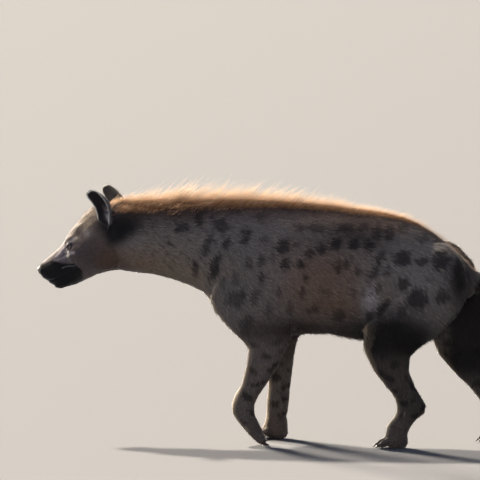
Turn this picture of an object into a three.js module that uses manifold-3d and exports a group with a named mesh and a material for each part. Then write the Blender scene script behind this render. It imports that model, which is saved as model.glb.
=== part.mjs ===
// A life-size spotted hyena, standing in mid stride with its head held low and level.
// Millimetres. +Z is up from the floor, the nose points to -X and the animal's left side to -Y.
import * as THREE from "three";
import { mergeVertices } from "three/addons/utils/BufferGeometryUtils.js";
import Module from "manifold-3d";

const wasm = await Module();
wasm.setup();

// Driving sizes
const GAP = 0.3; // between two parts that touch
const ORIGIN_SHIFT = 21.2; // brings the middle of the length over the origin
const TRUNK_SIDES = 24;
const LEG_SIDES = 14;
const HEAD_SIDES = 22;
const EYE_RADIUS = 13;

// Head frame: the joint of skull and neck, the pitch of the face and its turn to the right
const HEAD_JOINT = [-568.5, 13, 665];
const HEAD_PITCH = THREE.MathUtils.degToRad(31);
const HEAD_TURN = THREE.MathUtils.degToRad(7);

// Neck and torso, as upright slices: x, top, bottom, half width, sideways shift
const TRUNK = [
  [-600, 760, 575, 62, 14],
  [-560, 777, 558, 80, 12],
  [-520, 785, 554, 88, 10],
  [-473, 789, 548, 92, 8],
  [-415, 790, 542, 96, 5],
  [-355, 793, 529, 100, 3],
  [-300, 794, 512, 105, 2],
  [-250, 796, 490, 109, 1],
  [-205, 797, 446, 115, 0],
  [-165, 797, 400, 122, 0],
  [-115, 798, 365, 129, 0],
  [-50, 797, 349, 135, 0],
  [20, 794, 347, 140, 0],
  [90, 789, 353, 147, 0],
  [160, 784, 352, 151, 0],
  [225, 776, 341, 150, 0],
  [290, 769, 334, 144, 0],
  [350, 761, 339, 137, 0],
  [405, 749, 354, 128, 0],
  [455, 730, 379, 120, 0],
  [500, 704, 409, 112, 0],
  [545, 672, 438, 101, 0],
  [585, 637, 460, 89, 0],
  [620, 603, 479, 74, 0],
  [645, 574, 497, 54, 0],
  [657, 558, 512, 34, 0],
];
const TRUNK_BACK = 1.75; // roundness over the spine, 2 being an ellipse
const TRUNK_BELLY = 2.1;

// The skull, as slices across its own axis: distance to the nose end, top, bottom, half width,
// level of the widest place, and the roundness above it
const SKULL = [
  [-70, 84, -104, 66, 0, 1.9],
  [-38, 99, -122, 81, 0, 1.9],
  [-8, 106, -126, 88, -2, 1.85],
  [18, 102, -119, 90, -6, 1.85],
  [42, 93, -109, 89, -10, 1.85],
  [66, 84, -102, 85, -12, 1.9],
  [88, 76, -96, 78, -14, 1.9],
  [108, 66, -94, 69, -16, 1.95],
  [126, 54, -92, 61, -18, 2.0],
  [146, 44, -90, 54, -22, 2.0],
  [168, 39, -88, 49.5, -26, 2.1],
  [190, 35.5, -82, 46, -26, 2.2],
  [210, 33, -71, 43, -22, 2.2],
  [227, 30, -54, 38, -14, 2.2],
  [240, 25, -35, 31, -6, 2.1],
  [248, 17, -20, 21, 0, 2.0],
];
// Muscle and bone that fill out the skull: centre along, across and up, then the three radii
const SKULL_MASSES = [
  [62, 50, -10, 76, 37, 44], // cheek bone
  [14, 48, -50, 78, 40, 58], // jaw muscle
  [86, 36, 42, 38, 25, 18], // brow
  [180, 22, -54, 46, 23, 27], // lower lip
  [16, 30, 50, 74, 36, 34], // temple
];
const EYE = [102, 54, 27];
const LID = { ring: 14, thick: 4.2, flat: 0.76 };
const NOSE = { centre: [241, 0, 9], radii: [20, 26, 18] };
const NOSTRIL = { centre: [258, 12.5, 9], radii: [9, 6, 5.5] };
// Mouth: the line of the lips from under the nose to the corner, along and up
const MOUTH = {
  line: [
    [247, -22],
    [238, -31],
    [222, -40],
    [200, -46],
    [175, -50],
    [150, -51],
    [130, -45],
  ],
  groove: 2,
  deep: 6,
};

// Ears, as cup sections from the lobe up: front edge, deepest place and rear edge
const EAR = {
  sections: [
    [[-16, 68, 6], [-34, 56, 8], [-34, 80, -2]],
    [[-19, 70, 28], [-54, 46, 32], [-62, 92, 22]],
    [[-24, 69, 50], [-70, 44, 54], [-80, 102, 46]],
    [[-32, 68, 72], [-82, 50, 78], [-89, 105, 69]],
    [[-38, 71, 93], [-86, 62, 98], [-90, 104, 90]],
    [[-39, 79, 114], [-82, 74, 118], [-86, 101, 110]],
    [[-38, 88, 133], [-72, 84, 138], [-80, 98, 128]],
    [[-42, 94, 146], [-61, 90, 150], [-71, 96, 142]],
  ],
  thick: 6,
  across: 6,
  butt: { centre: [-46, 54, 32], radii: [31, 25, 38] },
};

// Legs, as level slices: height, front, rear, middle across, half width
const FORELEG_LEFT = [
  [680, -70, 40, 70, 26],
  [640, -118, 50, 78, 38],
  [580, -165, 48, 87, 45],
  [520, -200, 44, 94, 47],
  [478, -213, 46, 97, 46],
  [440, -200, 54, 98, 45],
  [405, -172, 62, 98, 44],
  [372, -140, 64, 98, 42],
  [345, -108, 58, 98, 40],
  [318, -86, 46, 97, 38],
  [262, -91, 20, 96, 35],
  [201, -107, -19, 95, 33],
  [165, -127, -44, 94, 32],
  [140, -137, -57, 94, 33],
  [116, -138, -60, 94, 32],
];
const FORELEG_RIGHT = [
  [680, -70, 40, 70, 26],
  [640, -118, 50, 78, 38],
  [580, -165, 50, 87, 45],
  [520, -196, 52, 94, 47],
  [478, -205, 58, 97, 46],
  [440, -186, 68, 98, 45],
  [405, -150, 76, 98, 44],
  [372, -110, 74, 98, 42],
  [345, -78, 66, 98, 40],
  [318, -57, 54, 97, 38],
  [270, -50, 45, 96, 35],
  [214, -46, 38, 95, 33],
  [170, -45, 33, 94, 32],
  [130, -49, 29, 94, 33],
  [98, -50, 25, 94, 32],
];
const HINDLEG_LEFT = [
  [668, 502, 556, 44, 14],
  [645, 462, 588, 54, 27],
  [600, 414, 622, 66, 40],
  [545, 380, 636, 76, 48],
  [490, 350, 630, 82, 51],
  [450, 322, 610, 86, 50],
  [410, 296, 577, 89, 48],
  [370, 282, 540, 92, 45],
  [334, 285, 489, 94, 43],
  [300, 301, 452, 96, 41],
  [254, 323, 446, 97, 37],
  [203, 362, 466, 98, 34],
  [172, 389, 485, 98, 32],
  [145, 400, 502, 98, 31],
  [118, 400, 499, 98, 31],
  [98, 388, 474, 98, 31],
  [76, 371, 455, 98, 32],
];
const HINDLEG_RIGHT = [
  [668, 496, 560, 44, 14],
  [645, 458, 594, 54, 27],
  [600, 414, 634, 66, 40],
  [545, 396, 652, 76, 48],
  [490, 400, 668, 82, 51],
  [450, 415, 672, 86, 50],
  [410, 442, 672, 89, 48],
  [370, 474, 672, 92, 45],
  [330, 494, 670, 95, 42],
  [288, 512, 668, 97, 39],
  [251, 543, 676, 98, 36],
  [222, 569, 692, 98, 34],
  [195, 600, 712, 98, 32],
  [168, 625, 736, 98, 31],
  [145, 644, 744, 98, 31],
  [118, 660, 738, 98, 31],
  [90, 671, 744, 98, 31],
];

// Paws that stand flat: rear end, length, half width, height over the knuckles, side and where
// the leg comes in from above
const FOREPAW = { length: 112, half: 41, high: 52 };
const HINDPAW = { length: 106, half: 37, high: 48 };
const TOE = { spread: 0.62, setBack: 12, radius: 13.5, sides: 6 };
const CLAW = { length: 17, radius: 4 };

// Tail: x, z, radius
const TAIL = [
  [628, 560, 30],
  [662, 545, 28],
  [690, 512, 23],
  [704, 470, 20],
  [709, 425, 18],
  [708, 380, 17],
  [703, 342, 14],
];
const TAIL_LOCKS = { from: 0.45, rows: 4, around: 5, length: 92, wide: 22, thick: 8 };

// The crest from nape to rump: x, height of the hair, half width of the band
const CREST = [
  [-502, 28, 30],
  [-466, 46, 32],
  [-420, 54, 32],
  [-350, 60, 31],
  [-270, 62, 30],
  [-180, 58, 28],
  [-80, 52, 26],
  [20, 46, 25],
  [120, 38, 24],
  [220, 31, 23],
  [330, 26, 22],
  [440, 20, 20],
  [530, 14, 17],
];
const CREST_STEP = 36;
const CREST_CORE = 0.4; // height of the ridge the locks stand on, as a share of the hair
const CREST_ROWS = [-0.72, 0, 0.72];
const CREST_LEAN = THREE.MathUtils.degToRad(30);
const LOCK = { wide: 25, thick: 8, sunk: 12 };

// Cuts between head, neck and torso: a point, and the tilt back from upright
const HEAD_CUT = { x: -492, z: 670, tilt: THREE.MathUtils.degToRad(-4) };
const NECK_CUT = { x: -150, z: 640, tilt: CREST_LEAN };

// Small tools
function randomFrom(seed) {
  let state = seed;
  return () => {
    state = (state * 1664525 + 1013904223) % 4294967296;
    return state / 4294967296;
  };
}

// A closed geometry as a solid, turned so that its faces point out
function solid(geometry) {
  geometry.deleteAttribute("normal");
  geometry.deleteAttribute("uv");
  const merged = mergeVertices(geometry, 1e-4);
  const faces = new Uint32Array(merged.index.array);
  const corners = [new THREE.Vector3(), new THREE.Vector3(), new THREE.Vector3()];
  let volume = 0;
  for (let i = 0; i < faces.length; i += 3) {
    corners.forEach((corner, k) => corner.fromBufferAttribute(merged.attributes.position, faces[i + k]));
    volume += corners[0].dot(corners[1].cross(corners[2]));
  }
  if (volume < 0) faces.reverse();
  return new wasm.Manifold(
    new wasm.Mesh({
      numProp: 3,
      vertProperties: new Float32Array(merged.attributes.position.array),
      triVerts: faces,
    }),
  );
}

// A closed body through rings of points, each ring with as many points as the next. It ends in
// the point tip, or level
function loft(rings, tip) {
  const sides = rings[0].length;
  const points = rings.flat();
  const faces = [];
  for (let r = 0; r + 1 < rings.length; r++) {
    for (let i = 0; i < sides; i++) {
      const a = r * sides + i;
      const b = r * sides + ((i + 1) % sides);
      faces.push(a, b, a + sides, b, b + sides, a + sides);
    }
  }
  const middle = (ring) => ring.reduce((sum, p) => sum.add(p), new THREE.Vector3()).divideScalar(sides);
  for (const [first, end, turned] of [
    [0, middle(rings[0]), true],
    [points.length - sides, tip ?? middle(rings.at(-1)), false],
  ]) {
    points.push(end);
    for (let i = 0; i < sides; i++) {
      const edge = [first + i, first + ((i + 1) % sides)];
      faces.push(points.length - 1, ...(turned ? edge.toReversed() : edge));
    }
  }
  return closed(points, faces);
}

// A solid from points and triangles
function closed(points, faces) {
  const flat = points.flatMap((p) => p.toArray());
  const geometry = new THREE.BufferGeometry().setIndex(faces);
  return solid(geometry.setAttribute("position", new THREE.Float32BufferAttribute(flat, 3)));
}

// A rounded ring: half sizes up, down and across, each raised to its own roundness
function ring(sides, up, down, across, roundUp, roundDown, place) {
  return Array.from({ length: sides }, (_, i) => {
    const angle = (2 * Math.PI * i) / sides;
    const c = Math.cos(angle);
    const s = Math.sin(angle);
    const power = 2 / (s > 0 ? roundUp : roundDown);
    const side = across * Math.sign(c) * Math.abs(c) ** power;
    const rise = (s > 0 ? up : down) * Math.sign(s) * Math.abs(s) ** power;
    return place(side, rise);
  });
}

function ellipsoid(centre, radii, wide = 10, high = 7) {
  const ball = new THREE.SphereGeometry(1, wide, high).scale(...radii).translate(...centre);
  return solid(ball);
}

const union = (pieces) => wasm.Manifold.union(pieces);
const largest = (made) =>
  made.decompose().reduce((best, part) => (part.volume() > best.volume() ? part : best));

// Value of a table at x, by straight lines between its rows
function at(rows, x, column) {
  const next = rows.findIndex((row) => row[0] >= x);
  if (next <= 0) return rows[next < 0 ? rows.length - 1 : 0][column];
  const [a, b] = [rows[next - 1], rows[next]];
  return a[column] + ((b[column] - a[column]) * (x - a[0])) / (b[0] - a[0]);
}

// Neck and torso
function trunk(grow) {
  return loft(
    TRUNK.map(([x, top, bottom, half, shift]) => {
      const middle = (top + bottom) / 2;
      const up = top - middle + grow;
      const place = (side, rise) => new THREE.Vector3(x, shift + side, middle + rise);
      const slice = ring(TRUNK_SIDES, up, up, half + grow, TRUNK_BACK, TRUNK_BELLY, place);
      slice[TRUNK_SIDES / 4].z += x < CREST[0][0] ? 0 : at(CREST, x, 1) * CREST_CORE;
      return slice;
    }),
  );
}

// Head frame to body frame: along the face, across to the right, and up from the face
const alongFace = new THREE.Vector3(
  -Math.cos(HEAD_PITCH) * Math.cos(HEAD_TURN),
  Math.cos(HEAD_PITCH) * Math.sin(HEAD_TURN),
  -Math.sin(HEAD_PITCH),
);
const acrossFace = new THREE.Vector3(Math.sin(HEAD_TURN), Math.cos(HEAD_TURN), 0);
const upFace = new THREE.Vector3().crossVectors(acrossFace, alongFace).normalize();
if (upFace.z < 0) upFace.negate();
const headPlace = (along, across, up) =>
  new THREE.Vector3(...HEAD_JOINT)
    .addScaledVector(alongFace, along)
    .addScaledVector(acrossFace, across)
    .addScaledVector(upFace, up);
const headMatrix = new THREE.Matrix4().makeBasis(alongFace, acrossFace, upFace).setPosition(...HEAD_JOINT);

// A three.js shape set in the head frame
function inHead(geometry) {
  return solid(geometry.applyMatrix4(headMatrix));
}

function skullRing([along, top, bottom, half, widest, roundUp], grow) {
  const place = (side, rise) => headPlace(along, side, widest + rise);
  return ring(HEAD_SIDES, top - widest + grow, widest - bottom + grow, half + grow, roundUp, 2.1, place);
}

// Skull with its muscle and lids
function skull(grow) {
  const pieces = [loft(SKULL.map((row) => skullRing(row, grow)))];
  for (const side of [-1, 1]) {
    for (const [along, across, up, ...radii] of SKULL_MASSES) {
      pieces.push(ellipsoidInHead([along, side * across, up], radii.map((r) => r + grow)));
    }
    pieces.push(lids(side));
  }
  return union(pieces);
}

// Half width of the skull at a place along it and a level
function skullWidth(along, level) {
  const [top, bottom, half, widest, roundUp] = [1, 2, 3, 4, 5].map((c) => at(SKULL, along, c));
  const up = level > widest;
  const share = Math.min(1, Math.abs(level - widest) / (up ? top - widest : widest - bottom));
  const round = up ? roundUp : 2;
  return half * (1 - share ** round) ** (1 / round);
}

function ellipsoidInHead(centre, radii, wide = 11, high = 7) {
  return inHead(new THREE.SphereGeometry(1, wide, high).scale(...radii).translate(...centre));
}

// The eyelids: one flat ring round the eye, tilted with the side of the face
function lids(side) {
  const lid = new THREE.TorusGeometry(LID.ring, LID.thick, 6, 14)
    .scale(1, LID.flat, 1.1)
    .rotateZ(-0.25)
    .rotateX(Math.PI / 2)
    .rotateZ(0.5)
    .scale(1, side, 1)
    .translate(EYE[0] + 1, side * (EYE[1] + 4), EYE[2]);
  return inHead(lid);
}

// The line of the mouth: a thin blade run along the lips, from one corner round the chin to the other
function mouthBlade() {
  const lips = (side) =>
    MOUTH.line.map(([along, level]) => headPlace(along, side * (skullWidth(along, level) + 1), level));
  const points = [...lips(-1).toReversed(), headPlace(254, 0, -16), ...lips(1)];
  const path = new THREE.CatmullRomCurve3(points, false, "centripetal");
  const centre = headPlace(150, 0, MOUTH.line[0][1]);
  const count = 28;
  const sections = Array.from({ length: count + 1 }, (_, i) => {
    const here = path.getPointAt(i / count);
    const inward = centre.clone().sub(here);
    inward.addScaledVector(upFace, -inward.dot(upFace)).normalize();
    return [
      here.clone().addScaledVector(inward, -4).addScaledVector(upFace, MOUTH.groove),
      here.clone().addScaledVector(inward, MOUTH.deep),
      here.clone().addScaledVector(inward, -4).addScaledVector(upFace, -MOUTH.groove),
    ];
  });
  return loft(sections);
}

// The cup of an ear: each section is a bowed strip, and the inner face lies the skin's depth inside it
function earCup(side) {
  const rings = EAR.sections.map(([front, deep, rear], level) => {
    const [f, d, r] = [front, deep, rear].map((p) => new THREE.Vector3(...p));
    const pull = d.clone().multiplyScalar(2).addScaledVector(f, -0.5).addScaledVector(r, -0.5);
    const bow = new THREE.QuadraticBezierCurve3(f, pull, r);
    const flat = f.clone().sub(d).cross(r.clone().sub(d)).normalize();
    const thick = EAR.thick * (1 - (0.4 * level) / EAR.sections.length);
    const outer = bow.getPoints(EAR.across);
    const inner = outer.map((p, i) => {
      const way = bow.getTangent(i / EAR.across);
      return p.clone().addScaledVector(way.cross(flat), thick);
    });
    return [...outer, ...inner.toReversed()].map((p) => headPlace(p.x, side * p.y, p.z));
  });
  const loop = rings[0].length;
  const faces = [];
  for (let r = 0; r + 1 < rings.length; r++) {
    for (let i = 0; i < loop; i++) {
      const a = r * loop + i;
      const b = r * loop + ((i + 1) % loop);
      faces.push(a, b, a + loop, b, b + loop, a + loop);
    }
  }
  for (const [first, turned] of [
    [0, true],
    [loop * (rings.length - 1), false],
  ]) {
    for (let i = 0; i < EAR.across; i++) {
      const [outer, inner] = [first + i, first + loop - 1 - i];
      const quad = [outer, outer + 1, inner, outer + 1, inner - 1, inner];
      faces.push(...(turned ? quad.toReversed() : quad));
    }
  }
  return closed(rings.flat(), faces);
}

// The solid butt of the ear, set in the skull
function earButt(side, grow) {
  const [along, across, up] = EAR.butt.centre;
  return ellipsoidInHead([along, side * across, up], EAR.butt.radii.map((r) => r + grow), 10, 8);
}

// A leg: level slices from the top down
function leg(rows, side, grow = 0) {
  const levels = rows.map((row, i) => {
    const end = i === 0 ? grow : i === rows.length - 1 ? -grow : 0;
    return [row[0] + end, ...row.slice(1)];
  });
  return loft(
    levels.map(([z, front, rear, across, half]) => {
      const middle = (front + rear) / 2;
      return ring(
        LEG_SIDES,
        half + grow,
        half + grow,
        (rear - front) / 2 + grow,
        2.1,
        2.1,
        (along, out) => new THREE.Vector3(middle + along, side * across + out, z),
      );
    }),
  );
}

// A tapering body along a path of [point, radius]
function finger(stations, sides) {
  const curve = new THREE.CatmullRomCurve3(stations.map(([p]) => new THREE.Vector3(...p)));
  const last = stations.length - 1;
  const rings = stations.map(([p, radius], i) => {
    const way = curve.getTangent(i / last);
    const across = new THREE.Vector3(0, 1, 0);
    across.addScaledVector(way, -across.dot(way)).normalize();
    const up = new THREE.Vector3().crossVectors(way, across);
    return ring(sides, radius, radius, radius, 2, 2, (a, b) =>
      new THREE.Vector3(...p).addScaledVector(across, a).addScaledVector(up, b),
    );
  });
  return loft(rings);
}

// Four toes with their claws and pads. place turns forward, across and up into the body frame
function toes(size, place) {
  const pieces = [];
  const { length, half, high } = size;
  for (const slot of [-1.5, -0.5, 0.5, 1.5]) {
    const outer = Math.abs(slot) > 1;
    const across = (slot / 1.5) * (half - TOE.radius + 1);
    const back = outer ? TOE.setBack : 0;
    const r = TOE.radius * (outer ? 0.95 : 1.05);
    const reach = length - back;
    const path = [
      [0.4, 0.5, 1.0, 0.86],
      [0.64, 0.54, 1.14, 1.0],
      [0.84, 0.36, 1.08, 1.08],
      [0.97, 0.17, 0.76, 1.14],
    ];
    pieces.push(
      finger(
        path.map(([along, up, wide, out]) => [place(reach * along, across * out, high * up), r * wide]),
        TOE.sides,
      ),
    );
    const nail = [
      [reach * 0.93, high * 0.28, CLAW.radius],
      [reach * 0.93 + CLAW.length * 0.55, high * 0.22, CLAW.radius * 0.85],
      [reach * 0.93 + CLAW.length, high * 0.09, CLAW.radius * 0.35],
    ];
    pieces.push(finger(nail.map(([along, up, radius]) => [place(along, across * 1.14, up), radius]), 5));
  }
  return pieces;
}

// A paw that stands flat on the floor, its toes to the front
function flatPaw(size, rear, side, across, legFoot) {
  const place = (forward, out, up) => [rear - forward, side * across + out, up];
  const { length, half, high } = size;
  const heel = ellipsoid(place(length * 0.36, 0, high * 0.4), [length * 0.36, half * 0.9, high * 0.52]);
  const [z, front, back, , legHalf] = legFoot;
  const instep = loft(
    [
      [z - GAP, (front + back) / 2, (back - front) / 2, legHalf],
      [(z + high) / 2, (front + back + 2 * rear - length * 0.8) / 4, (back - front) / 2.15, legHalf],
      [high * 0.98, rear - length * 0.38, length * 0.35, half * 0.88],
      [high * 0.55, rear - length * 0.42, length * 0.4, half * 0.96],
      [high * 0.3, rear - length * 0.42, length * 0.36, half * 0.85],
    ].map(([level, middle, along, out]) =>
      ring(LEG_SIDES, out, out, along, 2.1, 2.1, (a, b) => new THREE.Vector3(middle + a, side * across + b, level)),
    ),
  );
  return onFloor(union([heel, instep, ...toes(size, place)]));
}

// The lifted left forepaw: bent back at the wrist, with its toe tips on the floor
function bentPaw() {
  const [z, front, rear, across] = FORELEG_LEFT.at(-1);
  const slope = THREE.MathUtils.degToRad(61);
  const wrist = [(front + rear) / 2, z];
  const start = -14;
  const place = (forward, out, up) => {
    const lift = up - 22;
    const x = wrist[0] + Math.cos(slope) * (forward + start) - Math.sin(slope) * lift;
    const level = wrist[1] - Math.sin(slope) * (forward + start) - Math.cos(slope) * lift;
    return [x, -across + out, level];
  };
  const size = { ...FOREPAW, length: FOREPAW.length + 36 };
  const slices = [
    [z - GAP, wrist[0], (rear - front) / 2, 32],
    [z - 20, wrist[0] + 5, 37, 33],
    [z - 42, wrist[0] + 19, 34, 36],
    [z - 64, wrist[0] + 33, 30, 37],
    [z - 80, wrist[0] + 44, 24, 33],
  ];
  const palm = loft(
    slices.map(([level, middle, along, out]) =>
      ring(LEG_SIDES, out, out, along, 2.1, 2.1, (a, b) => new THREE.Vector3(middle + a, -across + b, level)),
    ),
  );
  return onFloor(union([palm, ...toes(size, place)]));
}

// Cuts a paw level with the floor, so that it stands on small flats
function onFloor(made) {
  return largest(made.trimByPlane([0, 0, 1], 0));
}

// A flat, tapering lock of hair: root, direction, length, width, thickness and the bend of its tip
function lock(root, way, faceOut, length, wide, thick, bend) {
  const across = new THREE.Vector3().crossVectors(way, faceOut).normalize();
  const out = new THREE.Vector3().crossVectors(across, way).normalize();
  const rings = [
    [-LOCK.sunk, 0.8, 0.9, 0],
    [length * 0.32, 1, 1, 0.1],
    [length * 0.72, 0.66, 0.7, 0.45],
  ].map(([along, w, t, curl]) =>
    [
      [1, 0],
      [0, 1],
      [-1, 0],
      [0, -1],
    ].map(([a, b]) =>
      root
        .clone()
        .addScaledVector(way, along)
        .addScaledVector(bend, curl)
        .addScaledVector(across, (a * w * wide) / 2)
        .addScaledVector(out, (b * t * thick) / 2),
    ),
  );
  return loft(rings, root.clone().addScaledVector(way, length).add(bend));
}

// The crest: three rows of locks along the ridge of the spine, leaning back
function crest() {
  const random = randomFrom(7);
  const first = CREST[0][0];
  const last = CREST.at(-1)[0];
  const locks = [];
  for (let x = first + 8; x < last; x += CREST_STEP) {
    for (const row of CREST_ROWS) {
      const here = x + (row === 0 ? 0 : CREST_STEP / 2) + (random() - 0.5) * 8;
      const high = at(CREST, here, 1) * (row === 0 ? 1 : 0.8) * (0.86 + 0.28 * random());
      const half = at(CREST, here, 2);
      const out = row * half;
      const root = new THREE.Vector3(here, at(TRUNK, here, 4) + out, at(TRUNK, here, 1) - Math.abs(row) * 7);
      const lean = CREST_LEAN + (random() - 0.5) * 0.2;
      const way = new THREE.Vector3(Math.sin(lean), row * 0.35, Math.cos(lean)).normalize();
      const length = high / Math.cos(lean);
      const bend = new THREE.Vector3(length * 0.14, row * 3, -length * 0.04);
      const face = new THREE.Vector3(1, (random() - 0.5) * 1.2, 0);
      locks.push(lock(root, way, face, length, LOCK.wide, LOCK.thick, bend));
    }
  }
  return union(locks);
}

// The tail: a hanging stem whose lower half carries long locks
function tail() {
  const path = TAIL.map(([x, z, radius]) => [[x, 0, z], radius]);
  const stem = finger(path, 14);
  const random = randomFrom(11);
  const curve = new THREE.CatmullRomCurve3(path.map(([p]) => new THREE.Vector3(...p)));
  const pieces = [stem];
  for (let row = 0; row < TAIL_LOCKS.rows; row++) {
    const share = TAIL_LOCKS.from + ((1 - TAIL_LOCKS.from) * row) / (TAIL_LOCKS.rows - 1);
    const centre = curve.getPoint(share);
    const down = curve.getTangent(share);
    const radius = 13;
    for (let i = 0; i < TAIL_LOCKS.around; i++) {
      const angle = (2 * Math.PI * (i + (row % 2) / 2 + 0.2 * random())) / TAIL_LOCKS.around;
      const out = new THREE.Vector3(Math.cos(angle), Math.sin(angle), 0);
      out.addScaledVector(down, -out.dot(down)).normalize();
      const spread = 0.34 - 0.2 * (row / TAIL_LOCKS.rows);
      const way = down.clone().addScaledVector(out, spread).normalize();
      const length = TAIL_LOCKS.length * (0.85 + 0.3 * random());
      const root = centre.clone().addScaledVector(out, radius - 3);
      const bend = out.clone().multiplyScalar(-length * 0.12);
      pieces.push(lock(root, way, out, length, TAIL_LOCKS.wide, TAIL_LOCKS.thick, bend));
    }
  }
  return union(pieces);
}

// The side of a tilted cut: its normal and the offset of the plane, moved back by half a gap
function cut(plane, forward) {
  const normal = [-Math.cos(plane.tilt), 0, Math.sin(plane.tilt)];
  const offset = normal[0] * plane.x + normal[2] * plane.z;
  return forward ? [normal, offset + GAP / 2] : [normal.map((n) => -n), -offset + GAP / 2];
}

// Body whole, then parted
const flesh = union([trunk(0), skull(0), crest()]);

const eyeBall = (side, grow) =>
  ellipsoidInHead([EYE[0], side * EYE[1], EYE[2]], Array(3).fill(EYE_RADIUS + grow), 12, 8);
const nosePad = (grow) => ellipsoidInHead(NOSE.centre, NOSE.radii.map((r) => r + grow), 14, 10);
const nostrils = [-1, 1].map((side) =>
  ellipsoidInHead([NOSTRIL.centre[0], side * NOSTRIL.centre[1], NOSTRIL.centre[2]], NOSTRIL.radii, 8, 6),
);
const ears = { left: -1, right: 1 };
const carved = [mouthBlade(), nosePad(GAP)];
for (const side of Object.values(ears)) carved.push(eyeBall(side, GAP), earButt(side, GAP));
const head = flesh.trimByPlane(...cut(HEAD_CUT, true)).subtract(union(carved));
const neck = flesh.trimByPlane(...cut(HEAD_CUT, false)).trimByPlane(...cut(NECK_CUT, true));

const legs = {
  foreleg_left: [FORELEG_LEFT, -1],
  foreleg_right: [FORELEG_RIGHT, 1],
  hindleg_left: [HINDLEG_LEFT, -1],
  hindleg_right: [HINDLEG_RIGHT, 1],
};
const legRooms = union(Object.values(legs).map(([rows, side]) => leg(rows, side, GAP)));
const tailSolid = tail();
const tailRoom = finger(TAIL.map(([x, z, radius]) => [[x, 0, z], radius + GAP]), 14);
const torso = flesh.trimByPlane(...cut(NECK_CUT, false)).subtract(legRooms).subtract(tailRoom);

const hide = new THREE.MeshStandardMaterial({ color: 0x8a7866, roughness: 0.95 });
const dark = new THREE.MeshStandardMaterial({ color: 0x3a302b, roughness: 0.9 });
const horn = new THREE.MeshStandardMaterial({ color: 0x1b1817, roughness: 0.5 });
const glass = new THREE.MeshStandardMaterial({ color: 0x1a0f0a, roughness: 0.1 });

const nodes = {
  head: [head, hide],
  nose: [nosePad(0).subtract(union(nostrils)), horn],
  eye_left: [eyeBall(-1, 0), glass],
  eye_right: [eyeBall(1, 0), glass],
  neck: [neck, hide],
  torso: [torso, hide],
  tail: [tailSolid, dark],
};
const fleshRoom = union([trunk(GAP), skull(GAP)]);
for (const [name, side] of Object.entries(ears)) {
  nodes["ear_" + name] = [union([earCup(side).subtract(fleshRoom), earButt(side, 0)]), dark];
}
for (const [name, [rows, side]] of Object.entries(legs)) nodes[name] = [leg(rows, side), hide];
nodes.forepaw_left = [bentPaw(), dark];
nodes.forepaw_right = [flatPaw(FOREPAW, 26, 1, 94, FORELEG_RIGHT.at(-1)), dark];
nodes.hindpaw_left = [flatPaw(HINDPAW, 444, -1, 98, HINDLEG_LEFT.at(-1)), dark];
nodes.hindpaw_right = [flatPaw(HINDPAW, 756, 1, 98, HINDLEG_RIGHT.at(-1)), dark];

const hyena = new THREE.Group();
hyena.position.x = ORIGIN_SHIFT;
for (const [name, [made, material]] of Object.entries(nodes)) {
  const whole = largest(made).getMesh();
  const geometry = new THREE.BufferGeometry()
    .setAttribute("position", new THREE.BufferAttribute(whole.vertProperties, 3))
    .setIndex(new THREE.BufferAttribute(whole.triVerts, 1));
  geometry.computeVertexNormals();
  const mesh = new THREE.Mesh(geometry, material);
  mesh.name = name;
  hyena.add(mesh);
}

export default hyena;
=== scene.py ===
"""A life-size spotted hyena in mid stride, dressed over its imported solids.

The solids give the pose and the outline. Here one skin takes the place of the flesh, and a coat of
solid tufts, a long crest, a tail tuft, wet eyes, a nose pad and claws stand on it.
"""

import math

import bmesh
import bpy
import numpy as np
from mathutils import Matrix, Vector
from mathutils.bvhtree import BVHTree


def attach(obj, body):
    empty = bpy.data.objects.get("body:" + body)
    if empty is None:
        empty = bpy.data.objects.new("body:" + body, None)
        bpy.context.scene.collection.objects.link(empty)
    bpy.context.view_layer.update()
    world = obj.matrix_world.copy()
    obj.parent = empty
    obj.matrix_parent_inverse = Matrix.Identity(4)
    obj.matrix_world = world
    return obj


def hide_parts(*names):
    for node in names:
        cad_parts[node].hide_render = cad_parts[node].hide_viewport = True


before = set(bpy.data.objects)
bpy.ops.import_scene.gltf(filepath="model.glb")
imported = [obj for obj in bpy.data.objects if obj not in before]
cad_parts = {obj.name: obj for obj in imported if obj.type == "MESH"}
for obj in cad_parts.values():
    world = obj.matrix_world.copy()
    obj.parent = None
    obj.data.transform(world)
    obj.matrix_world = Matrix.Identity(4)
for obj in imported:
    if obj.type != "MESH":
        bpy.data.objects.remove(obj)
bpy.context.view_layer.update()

# Flesh
# One hide over the whole body. Neck, trunk and rump are one form drawn through upright slices, and
# the head, ears, legs and paws are the solids' own shapes. They are fused at a fine grid, evened
# out, and thinned again where the body is plain.

SHIFT = 21.2  # from the slices' own zero to the middle of the whole length, in mm
# x, top, bottom, half width and sideways shift of each slice, in mm
TRUNK = [
    (-600, 760, 575, 62, 14),
    (-560, 777, 558, 80, 12),
    (-520, 785, 554, 88, 10),
    (-473, 789, 548, 92, 8),
    (-415, 790, 542, 96, 5),
    (-355, 793, 529, 100, 3),
    (-300, 794, 512, 105, 2),
    (-250, 796, 490, 109, 1),
    (-205, 797, 446, 115, 0),
    (-165, 797, 400, 122, 0),
    (-115, 798, 365, 129, 0),
    (-50, 797, 349, 135, 0),
    (20, 794, 347, 140, 0),
    (90, 789, 353, 147, 0),
    (160, 784, 352, 151, 0),
    (225, 776, 341, 150, 0),
    (290, 769, 334, 144, 0),
    (350, 761, 339, 137, 0),
    (405, 749, 354, 128, 0),
    (455, 730, 379, 120, 0),
    (500, 704, 409, 112, 0),
    (545, 672, 438, 101, 0),
    (585, 637, 460, 89, 0),
    (620, 603, 479, 74, 0),
    (645, 574, 497, 54, 0),
    (657, 558, 512, 34, 0),
]
SLICE_SIDES = 48
BACK_ROUND = 1.75  # 2 is an ellipse
BELLY_ROUND = 2.1
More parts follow.
